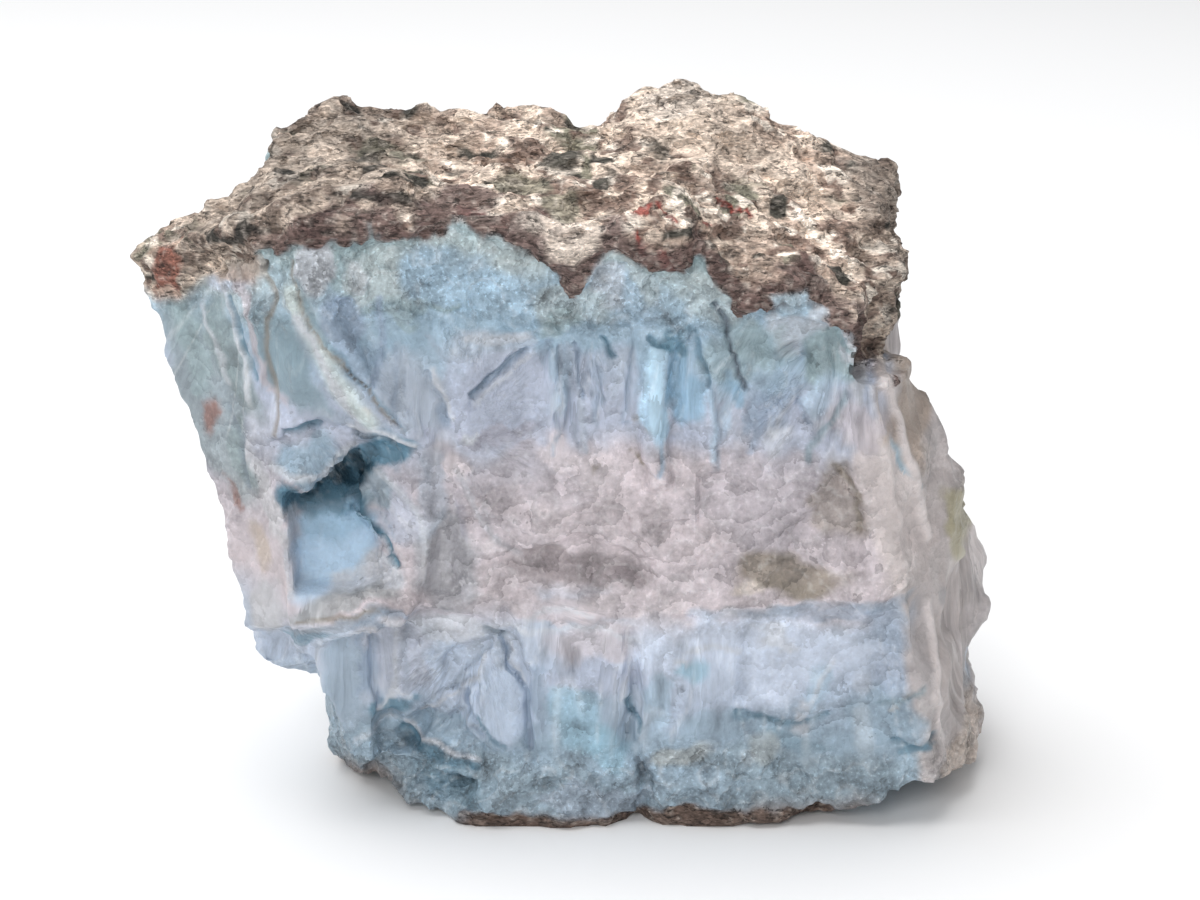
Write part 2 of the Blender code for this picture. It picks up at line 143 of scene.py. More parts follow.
# The boxes, by two corners, that the block, its plate and its missing parts are broken from
BLOCK_BOX = ((-HALF - 9, FRONT, -GROUND_ALLOWANCE), (HALF + 4, BACK, HEIGHT + 6))
PLATE_BOX = ((20, FRONT, -GROUND_ALLOWANCE), (HALF + 4, BACK - 5, 48))
CORNER_BOX = ((-70, -40, -20), (0, 40, 40))
SHOULDER_BOX = ((-70, -60, 30), (0, 60, 90))
GROUND_BOX = ((-80, -60, -30), (80, 60, 0))

# Each kind of roughness: its size and how strong it is, and the height of the crust's lip
FRONT_SWELL = (13, 0.5)
FRONT_CHIPS = (4.5, 0.18)
FACET_WAVES = (2.5, 0.12)
CRUST_EDGE_CHIPS = (3.2, 0.36)
CRUST_SWELL = (7, 0.5)
CRUST_CHIPS = (4.2, 0.40)
SIDE_BLOCKS = (9, 0.48)
SIDE_CHIPS = (4.2, 0.30)
EDGE_WANDER = (3.5, 0.45)
CRUST_LIP = 1.0

# A broken facet: how much it tilts, bowls and stands off its neighbours
FACET_TILT = 1.0
FACET_BOWL = 1.0
FACET_STEP = 0.45
FACET_MIDDLE = 0.22

# Flat breaks that bound the main block: a point on each and the way it faces
MAIN_BREAKS = {
    "top wall": ((0, FRONT, 64.8), (0, -0.16, 0.987)),
    "top wall, falling right": ((6.6, FRONT, 64.8), (0.370, -0.293, 0.881)),
    "top wall, falling left": ((-30, -20, 64.3), (-0.487, -0.219, 0.845)),
    "left bevel": ((-27.5, FRONT, 60), (-0.61, -0.79, 0.022)),
    "left end": ((-46.0, -8.2, 57.2), (-0.93, 0.25, -0.355)),
    "right end, upper": ((28.2, FRONT, 51.5), (0.972, -0.231, -0.02)),
    "lower left underside": ((-14.5, -17, 0.6), (-0.48, -0.18, -0.858)),
    "lower right underside": ((17.4, FRONT, 0.0), (0.254, -0.209, -0.944)),
    "back, left": ((-24, BACK, 40), (-0.58, 0.81, 0.05)),
    "back, right": ((22, BACK, 40), (0.48, 0.87, 0.10)),
    "back, top": ((0, BACK, 57), (0.05, 0.72, 0.69)),
    "back, foot": ((0, BACK, 15), (0.10, 0.88, -0.46)),
}
TOP_BREAKS = ("top wall", "top wall, falling right", "top wall, falling left")

# The plate of vein that reaches further right than the crust above it
SIDE_BREAKS = {
    "right end, lower": ((33.6, FRONT, 30), (0.90, -0.41, 0.137)),
    "olive shoulder": ((44.9, -3, 22.5), (0.90, 0.15, 0.41)),
    "right back": ((44.8, 0, 12), (0.97, 0.24, 0.0)),
    "lower right underside": ((17.4, FRONT, 0.0), (0.254, -0.209, -0.944)),
    "side back": ((38, 15, 20), (0.40, 0.90, 0.10)),
}

# The broken-out corner under the left end: what lies below and left of both faces is gone
CORNER_BREAKS = {
    "overhang": ((-32.4, -18.5, 19.0), (0.42, 0.25, 0.87)),
    "leg": ((-27.0, -17, 15), (0.965, 0.06, 0.25)),
}

# The step where the crust's left end lies lower than the rest
SHOULDER_BREAKS = {
    "step": ((-32.9, 5, 66), (0.97, 0.10, -0.20)),
    "shoulder": ((-40, -7, 61.6), (0.52, -0.32, -0.79)),
}

# Shallow hollows in the outer faces: centre, radius, how deep
DENTS = (
    ((-40, -13, 39), 12, 2.9),
    ((36, -2, 54), 7, 2.0),
    ((-17, -18, 2.5), 5, 1.4),
    ((35, 2, 46), 5, 1.6),
    ((44.5, -2, 13), 6, 1.5),
    ((-44, 6, 50), 7, 1.2),
    ((6, 22, 44), 9, 1.6),
    ((-20, 21, 22), 8, 1.4),
)

# Lumps and hollows of the crust: centre x, y, half width x, half width y, height
CRUST_LUMPS = (
    (12.5, 11, 8.5, 9, 4.6),
    (-26.0, 11, 5.0, 7, 1.5),
    (-32.5, 14, 3.5, 6, -2.0),
    (-6.0, 13, 7.0, 5, 0.9),
    (1.8, 9, 2.6, 9, -2.2),
    (20.5, 12, 3.0, 5, -1.2),
    (-20, -14, 9.0, 5, 1.6),
    (1.0, -19, 5.0, 4, -2.2),
    (9.0, -16, 6.0, 5, 1.8),
    (-9.0, -3, 8.0, 4, -1.3),
    (-41.5, -6, 3.5, 5, 1.0),
    (21.0, -12, 6.0, 5, 1.0),
)

# Facets of the front face: depth behind the front plane at the first outline point, depth
# gained a millimetre to the right and a millimetre up, softness of the edge, outline in x, z
FRONT_FACETS = {
    "lower left field": (6.2, -0.14, 0.02, 0.9,
        ((-34, 20.5), (-17, 24.0), (-9, 23.0), (-6.6, 21.6), (-4.8, 15.8), (-4.2, 7.2), (-9.5, 3.6),
         (-20, -6), (-34, -6))),
    "left block": (0.5, 0.02, 0.0, 0.5,
        ((-30.5, 46), (-21.5, 46.5), (-14.3, 42.7), (-13.6, 33), (-15.9, 25.3), (-28.7, 21.8),
         (-31, 30))),
    "over the ledge": (1.2, 0.0, -0.12, 0.5,
        ((-29.5, 48.0), (-22.0, 47.0), (-20.5, 43.0), (-28.8, 42.6))),
    "ledge blade": (0.2, 0.0, 0.52, 0.3,
        ((-27.2, 37.9), (-28.6, 38.6), (-30.9, 39.2), (-30.8, 42.2), (-27.3, 43.2), (-25.8, 44.2),
         (-22.0, 43.1), (-22.4, 41.8), (-24.5, 40.0), (-26.0, 38.9))),
    "shaded facet": (4.6, -0.45, 0.0, 0.4,
        ((-22.9, 41.8), (-15.4, 41.8), (-14.8, 37.6), (-18.7, 37.6), (-22.6, 38.6))),
    "cavity": (7.0, 0.0, 0.1, 0.4,
        ((-29.2, 36.6), (-28.0, 36.4), (-26.8, 36.8), (-24.6, 38.6), (-22.6, 40.8), (-20.6, 39.4),
         (-21.6, 35.6), (-28.6, 33.8))),
    "blue panel": (6.4, -0.06, 0.33, 0.35,
        ((-28.7, 35.0), (-26.8, 35.6), (-24.1, 36.2), (-22.3, 34.1), (-19.6, 30.6), (-18.4, 27.4),
         (-17.4, 26.6), (-28.7, 25.6))),
    "fan sheet": (4.4, -0.42, 0.06, 0.3,
        ((-22.6, 36.4), (-20.6, 38.4), (-17.1, 37.8), (-15.0, 35.0), (-14.6, 29.9), (-15.4, 27.5),
         (-18.2, 27.7), (-19.6, 31.3))),
    "rim": (0.5, 0.0, 0.10, 0.35,
        ((-29.1, 26.0), (-23.3, 26.0), (-16.4, 27.6), (-16.1, 25.3), (-20.5, 24.9), (-23.9, 23.8),
         (-28.0, 22.2), (-29.1, 21.4))),
    "under the rim": (1.0, -0.15, -1.25, 0.35,
        ((-28.4, 22.0), (-24.2, 23.6), (-20.8, 24.7), (-16.1, 25.2), (-16.9, 22.4), (-19.8, 22.0),
         (-22.4, 21.3), (-25.4, 19.7), (-28.4, 17.9), (-30.2, 18.1))),
    "grey recess": (2.8, 0.1, 0.0, 0.6,
        ((-14.4, 33.0), (-12.2, 33.0), (-11.6, 25.6), (-15.4, 25.0))),
    "step right of the strip": (2.4, -0.05, 0.06, 0.6,
        ((-26.8, 58.6), (-13.0, 57.5), (-8.8, 50.0), (-12.4, 43.6), (-16.9, 43.9), (-22.3, 51.5))),
    "white strip": (0.0, 0.01, 0.02, 0.4,
        ((-28.4, 62.4), (-26.6, 62.2), (-22.2, 53.4), (-18.2, 47.2), (-14.4, 42.4), (-17.0, 43.2),
         (-20.4, 44.4), (-23.2, 49.0))),
    "sugar block": (0.5, 0.0, 0.0, 0.8,
        ((-27.2, 63.6), (-21.8, 64.0), (-21.6, 57.6), (-25.6, 56.8))),
    "under the crust": (2.2, 0.0, -0.04, 1.2,
        ((-21, 62.5), (-12, 64), (-3, 61), (1, 57.6), (5, 61), (9, 59), (17, 56), (27, 55), (27, 50.5),
         (18.5, 51.5), (10.6, 54.5), (-3.7, 53.8), (-13.1, 54.6), (-21, 56))),
    "first vee": (1.5, -0.25, 0.12, 0.35,
        ((-14.0, 49.4), (-9.2, 52.6), (-11.4, 45.2))),
    "second vee": (0.6, 0.28, 0.06, 0.35,
        ((-10.2, 52.2), (-5.7, 52.2), (-11.2, 45.6))),
    "smooth block": (0.6, 0.10, 0.10, 0.35,
        ((-11.0, 44.8), (-5.2, 51.4), (-2.2, 52.4), (-1.5, 42.6), (-9.6, 42.5))),
    "narrow blades": (1.9, -0.12, 0.05, 0.3,
        ((-1.2, 52.6), (2.0, 52.4), (3.2, 47.0), (1.6, 42.6), (-0.9, 42.8))),
    "wedge": (0.5, 0.12, 0.08, 0.35,
        ((2.1, 54.2), (6.1, 54.9), (4.9, 44.8), (3.2, 46.8))),
    "bright blade": (0.2, 0.10, 0.06, 0.3,
        ((6.9, 52.4), (9.8, 52.8), (9.9, 42.7), (8.9, 37.3), (7.1, 38.2))),
    "blue hollow": (3.1, -0.28, 0.10, 0.35,
        ((9.9, 52.2), (11.8, 53.8), (14.0, 48.4), (14.6, 41.7), (12.2, 39.2), (9.8, 40.2))),
    "middle hollow": (2.2, 0.0, 0.12, 0.7,
        ((-7.6, 29.9), (0.7, 31.6), (8.6, 30.2), (7.9, 27.5), (-1.4, 27.7))),
    "first slab": (4.9, -0.10, 0.04, 0.3,
        ((-26.9, 17.0), (-26.4, 18.6), (-22.6, 20.6), (-21.7, 19.2), (-21.6, 13.6), (-20.8, 9.5),
         (-22.0, 6.8), (-23.7, 5.9), (-25.2, 7.0), (-25.6, 9.2), (-26.6, 11.6))),
    "second slab": (5.5, -0.26, 0.03, 0.3,
        ((-21.0, 19.4), (-19.7, 21.4), (-17.0, 21.4), (-13.6, 19.6), (-13.4, 13.3), (-17.0, 12.0),
         (-18.3, 11.1), (-19.0, 12.4), (-20.0, 11.5), (-20.8, 13.5))),
    "ray slab": (4.6, -0.22, 0.08, 0.35,
        ((-16.4, 9.4), (-13.9, 13.5), (-13.5, 18.8), (-8.8, 20.2), (-9.4, 17.0), (-11.0, 12.7))),
    "big slab": (2.6, 0.06, 0.07, 0.3,
        ((-8.3, 20.3), (-7.1, 20.6), (-5.2, 15.2), (-4.6, 7.9), (-6.3, 7.6), (-8.7, 8.4), (-10.7, 12.0),
         (-10.9, 13.3), (-9.5, 17.8))),
    "left hollow": (7.0, 0.0, 0.0, 0.4,
        ((-20.6, 10.8), (-19.2, 11.9), (-18.4, 10.7), (-15.0, 12.5), (-16.6, 8.5), (-18.1, 6.8),
         (-20.9, 6.4))),
    "lit facet": (4.6, -0.10, 0.34, 0.3,
        ((-17.6, 8.2), (-16.0, 9.8), (-11.3, 12.6), (-9.9, 8.5), (-10.2, 5.3), (-13.0, 5.8),
         (-16.1, 7.1))),
    "crevice": (7.2, -0.10, 0.1, 0.4,
        ((-21.6, 5.8), (-17.9, 6.5), (-16.1, 6.4), (-13.2, 5.1), (-10.4, 4.6), (-10.9, 3.2),
         (-16.3, 2.5), (-21.6, 3.1))),
    "right block, upper": (0.6, 0.02, 0.02, 0.6,
        ((6.8, 22.4), (12.5, 23.4), (17.6, 22.0), (16.4, 17.0), (17.2, 13.8), (11.0, 13.0),
         (6.6, 14.2))),
    "right block, lower": (1.7, 0.0, -0.05, 0.6,
        ((17.6, 22.4), (25.0, 24.4), (33.4, 23.6), (34.6, 16.0), (28.0, 14.6), (22.5, 16.2),
         (16.8, 14.2))),
    "low teal": (1.5, 0.0, 0.06, 0.8,
        ((-3.6, 15.2), (5.4, 15.0), (5.8, 3.6), (-4.2, 6.2))),
    "olive patch": (1.9, -0.03, 0.08, 0.9,
        ((16.4, 27.9), (20.4, 32.0), (25.8, 36.4), (27.4, 40.0), (29.3, 36.4), (29.3, 29.5),
         (27.2, 25.5), (19.2, 25.1))),
    "right strip": (0.2, 0.16, 0.0, 0.5,
        ((28.4, 38.6), (29.7, 43.6), (31.6, 45.4), (34.2, 30.0), (36.4, 24.2), (31.2, 25.5),
         (29.4, 30.0))),
}

# Cracks of the front face: width, depth, points in x, z
CRACKS = {
    "left crack": (0.9, 1.3, ((-7.2, 24.0), (-6.5, 20.8), (-5.0, 15.8), (-4.4, 7.2))),
    "middle crack": (0.9, 1.6, ((6.0, 22.0), (6.4, 14.7), (5.7, 10.5), (7.8, 5.5), (6.2, -1.0))),
    "sheet crack": (0.5, 0.7, ((-21.5, 37.6), (-17.6, 32.2), (-16.4, 28.8))),
    "right crack": (0.6, 0.8, ((31.0, 18.6), (32.4, 15.4), (35.4, 13.6))),
}

# The notch in the front's lower edge: its middle, half width, depth and height
NOTCH_MIDDLE = 6.2
NOTCH_HALF = 3.2
NOTCH_DEPTH = 3.0
NOTCH_HEIGHT = 4.0

# Where the brown crust starts on the front face, from left to right, in x, z
CRUST_LINE = (
    (-60, 56), (-36.5, 58.6), (-30.3, 60.9), (-22.2, 62.3), (-19.5, 63.9), (-16, 61.9),
    (-11.9, 64.3), (-2.7, 60.9), (0, 57.3), (3.9, 61.9), (9.4, 59.1), (12.5, 60.9),
    (16.7, 55.3), (22.8, 57.1), (28.6, 52), (33, 47), (60, 44),
)

# Waves of the wall rock's edge, each with its size, strength and seed, and the band in which the
# rock takes over: along that line, behind the top wall, round the right end and along the foot
CRUST_LINE_WAVES = ((1.8, 1.0, 31), (0.8, 0.5, 30))
CRUST_LINE_BAND = (-0.3, 0.5)
CRUST_DEPTH_WAVES = ((5, 1.6, 32), (1.6, 0.5, 33))
CRUST_DEPTH_BAND = (3.2, 4.6)
CRUST_END_WAVES = ((4, 1.0, 36), (1.2, 0.5, 37))
CRUST_END_FROM = (27.6, 28.6)
CRUST_END_ABOVE = (47.0, 49.5)
FOOT_CRUST_WAVES = ((6, 2.0, 34), (1.5, 0.7, 35))
FOOT_CRUST_BAND = (1.2, 2.2)
FOOT_CRUST_FROM = (-13, -10)

# In front of LINE_ZONE the line decides, and behind it the depth. In front of FOOT_ZONE the foot
# has no crust left of FOOT_CRUST_FROM
LINE_ZONE = -16
FOOT_ZONE = -5

# Fans of fibres on the front face: the middle of each and the point its fibres spread from, in x, z
FRONT_FANS = (
    ((-28, 52), (-25, 75)),
    ((-24.5, 49), (-20, 66)),
    ((-24.5, 56), (-32, 66)),
    ((-19, 52), (-27, 66)),
    ((-14.5, 47), (-15.0, 72)),
    ((-18.8, 45), (-24, 66)),
    ((-11.5, 52), (-11.8, 42)),
    ((-6, 47), (-12.5, 42)),
    ((-5, 55), (-13, 41)),
    ((-1.0, 47), (-1.0, 70)),
    ((2.5, 48), (2.5, 62)),
    ((6, 48), (4, 70)),
    ((9, 47), (9.0, 80)),
    ((12.5, 48), (11.5, 64)),
    ((16, 48), (22, 62)),
    ((21, 47), (29, 56)),
    ((26, 47), (27, 62)),
    ((-24, 38), (-28, 44)),
    ((-18, 33), (-23.5, 41)),
    ((-26, 30), (-24, 50)),
    ((-25, 14), (-24.5, 38)),
    ((-21, 16), (-21.5, 30)),
    ((-15.5, 16), (-9, 22.5)),
    ((-9, 14), (-10.0, 23)),
    ((-15, 9), (-7, 20)),
    ((-2, 15), (-3, 45)),
    ((6, 15), (6, 45)),
    ((14, 14), (12, 40)),
    ((22, 14), (23, 40)),
    ((31, 14), (28, 40)),
    ((2, 31), (-20, 28)),
    ((15, 31), (50, 36)),
    ((33, 30), (34, 90)),
    ((-12, 30), (-12, 60)),
)
FAN_ROOT_DEPTH = -17.0

# How much a fan's height counts against its width, and the waves of the borders between fans
FAN_TALL = 0.6
FAN_WANDER = (5.0, 1.4)

# Elsewhere the fans grow from both walls of the vein, one for each cell of this size, with its
# root in the middle part of the cell: where that part starts and how wide it is
FAN_CELL = 13.0
ROOT_PART = (0.2, 0.6)
UPPER_WALL = 68.0
LOWER_WALL = -6.0
VEIN_MIDDLE = 31.0

# How far from its root a fibre has its own width, the bands in which the relief grows from the
# border of a fan or a cell and from a root, and how much the fibres change along their length
FAN_SPREAD = 20.0
FAN_BORDER = (0.3, 2.4)
CELL_BORDER = (0.0, 1.5)
ROOT_CALM = (2.0, 9.0)
FIBRE_DRIFT = 0.05

# Where the fans are silky: size and strength of the patches, the usual share and the least one
SILK_PATCHES = (7.0, 1.6)
SILK_USUAL = 0.65
SILK_LEAST = 0.15

# Between these heights the vein is massive, with hardly a fibre to see, but for the front's left
MASSIVE_LOW = (24, 27)
MASSIVE_HIGH = (38, 42)
MASSIVE_LEFT = (-15, -12)
MASSIVE_LEFT_WAVES = ((3.0, 1.1, 50),)

# Beside the walls the vein is sugary: above the upper heights and below the lower ones
SUGAR_UPPER = (52.5, 56.5)
SUGAR_LOWER = (7.0, 11.0)
SUGAR_WAVES = ((6, 2.5, 41), (2, 0.8, 42))

# The pale plate of the right end: the flat breaks it lies behind, how deep, and below what height
PLATE_BREAKS = ("right end, lower", "olive shoulder", "right back")
PLATE_DEPTH = (1.2, 2.2)
PLATE_WAVES = ((5, 0.5, 59),)
PLATE_TOP = 50
PLATE_STRENGTH = 0.9

# Finest relief: size and strength of the fibres, the sugary grains, the wall rock and the breaks
FIBRE_BLADES = (3.4, 0.36)
FIBRE_RIDGES = (1.2, 0.10)
SUGAR_LUMPS = (2.1, 0.20)
SUGAR_GRAINS = (1.0, 0.45)
WALL_GRAINS = (1.3, 0.38)
BREAK_STEPS = (2.6, 0.08)

# Broken ledges of each part of the stone: size and strength of the facets that they follow, the
# height of one ledge, the slope that they fall along and their seed
LEDGES = {
    "fibre": ((4.0, 0.16), 0.24, (0.09, 0.0, 0.0), 63),
    "massive": ((4.2, 0.20), 0.34, (0.03, 0.0, 0.11), 68),
    "sugar": ((3.4, 0.20), 0.34, (-0.05, 0.0, 0.08), 84),
    "wall": ((3.6, 0.55), 0.42, (0.02, -0.10, 0.10), 66),
}
WALL_LEDGE_SQUEEZE = (0.7, 1, 1.5)

# Between two ledges the riser takes this part of the step, and the broken edges there are this pale
LEDGE_RISER = (0.38, 0.62)
EDGE_PALE = {"fibre": 0.16, "massive": 0.13, "sugar": 0.16, "wall": 0.35}

# The most that the fine relief sinks and stands out, the heights between which it grows from
# nothing on the standing flat, and the angle from which an edge shows as a crease
LIFT_LIMITS = (-1.6, 0.8)
FLAT_EDGE = (0.1, 1.2)
CREASE_ANGLE = math.radians(38)

# Colours of the minerals, and the darker tones of painted shade laid over them, as linear red, green, blue
TONES = {
    "sky": (0.305, 0.425, 0.525),
    "sky deep": (0.27, 0.42, 0.55),
    "pale sky": (0.39, 0.51, 0.62),
    "bright blue": (0.42, 0.60, 0.74),
    "lavender": (0.42, 0.46, 0.56),
    "pale lavender": (0.43, 0.48, 0.56),
    "lavender grey": (0.41, 0.43, 0.50),
    "shade blue": (0.27, 0.34, 0.44),
    "fan grey": (0.35, 0.40, 0.47),
    "grey blue": (0.30, 0.35, 0.42),
    "grey shade": (0.17, 0.21, 0.25),
    "green white": (0.40, 0.46, 0.47),
    "frost": (0.50, 0.52, 0.56),
    "sea green": (0.275, 0.36, 0.38),
    "teal mist": (0.20, 0.28, 0.325),
    "teal shade": (0.10, 0.20, 0.27),
    # Painted shadow: the darkest shade, laid deep in the pit under the ledge and in the crevice under the
    # slabs
    "shadow teal": (0.02, 0.06, 0.09),
    "bright teal": (0.25, 0.42, 0.52),
    "ledge blue": (0.26, 0.35, 0.43),
    "pit blue": (0.42, 0.57, 0.72),
    "pit sky": (0.30, 0.46, 0.60),
    # Painted shadow under the ledge of the pit
    "pit shadow": (0.07, 0.17, 0.24),
    "strip white": (0.54, 0.61, 0.60),
    "blade light": (0.44, 0.61, 0.73),
    "pale pink": (0.62, 0.56, 0.58),
    "bloom blue": (0.30, 0.47, 0.58),
    # Painted shade in creases, along blade edges, in the gaps between blades, beside the white strip and
    # under the rim and the olive patch
    "dusk shade blue": (0.25, 0.32, 0.41),
    "chunk grey": (0.38, 0.41, 0.41),
    "big blade": (0.48, 0.56, 0.68),
    "white blue": (0.54, 0.60, 0.71),
    "lower blue": (0.40, 0.46, 0.56),
    "lower teal": (0.28, 0.37, 0.45),
    "lower sugar": (0.24, 0.31, 0.36),
    "low teal": (0.18, 0.27, 0.33),
    "pink": (0.53, 0.47, 0.49),
    "pink grey": (0.44, 0.40, 0.43),
    "shade pink": (0.33, 0.32, 0.37),
    "grey": (0.33, 0.33, 0.355),
    # Painted shade in the middle hollow
    "hollow shade pink": (0.32, 0.28, 0.29),
    "sand": (0.30, 0.315, 0.325),
    "cream": (0.60, 0.53, 0.47),
    "olive": (0.26, 0.22, 0.18),
    "olive brown": (0.22, 0.19, 0.155),
    "rust": (0.25, 0.14, 0.12),
    "bevel teal": (0.20, 0.255, 0.265),
    "bevel grey": (0.46, 0.46, 0.48),
    "sand tan": (0.44, 0.37, 0.32),
    "plate": (0.56, 0.50, 0.49),
    "pale plate": (0.66, 0.60, 0.59),
    "plate grey": (0.43, 0.385, 0.375),
    "plate spot": (0.28, 0.27, 0.28),
    "blue sliver": (0.30, 0.42, 0.50),
    "olive slab": (0.33, 0.30, 0.205),
    "wall grey": (0.32, 0.255, 0.21),
    "wall olive": (0.21, 0.195, 0.145),
    "wall tan": (0.40, 0.305, 0.245),
    "wall cream": (0.66, 0.54, 0.445),
    "wall white": (0.84, 0.74, 0.64),
    "wall brown": (0.21, 0.145, 0.115),
    "wall umber": (0.13, 0.09, 0.07),
    "wall dark": (0.05, 0.045, 0.035),
    "wall maroon": (0.105, 0.062, 0.056),
    "wall red": (0.24, 0.035, 0.025),
    "wall rust": (0.30, 0.11, 0.075),
}

# The vein from its lower wall to its upper one: height in the stone and the colour there
VEIN_LAYERS = (
    (-2, "wall brown"),
    (2, "lower sugar"),
    (9, "lower teal"),
    (16, "lower blue"),
    (22, "pale lavender"),
    (27, "pink"),
    (36, "pink grey"),
    (41, "lavender grey"),
    (47, "lavender"),
    (54, "sky"),
    (59, "green white"),
    (64, "sea green"),
)
LAYER_WAVES = ((12, 3.2, 51), (3.0, 1.1, 52))

# The patches below reach back to these depths, and further by the step past the right end, which
# the view sees too. Each is full and ends at these shares of its size, and its place wanders
PATCH_REACH = (-11, -7)
PATCH_REACH_STEP = 14
PATCH_REACH_RIGHT = (27, 31)
PATCH_EDGE = (0.76, 1.18)
PATCH_WAVES_X = ((5.0, 1.6, 53), (1.5, 0.75, 55))
PATCH_WAVES_Z = ((5.0, 1.6, 54), (1.5, 0.75, 56))
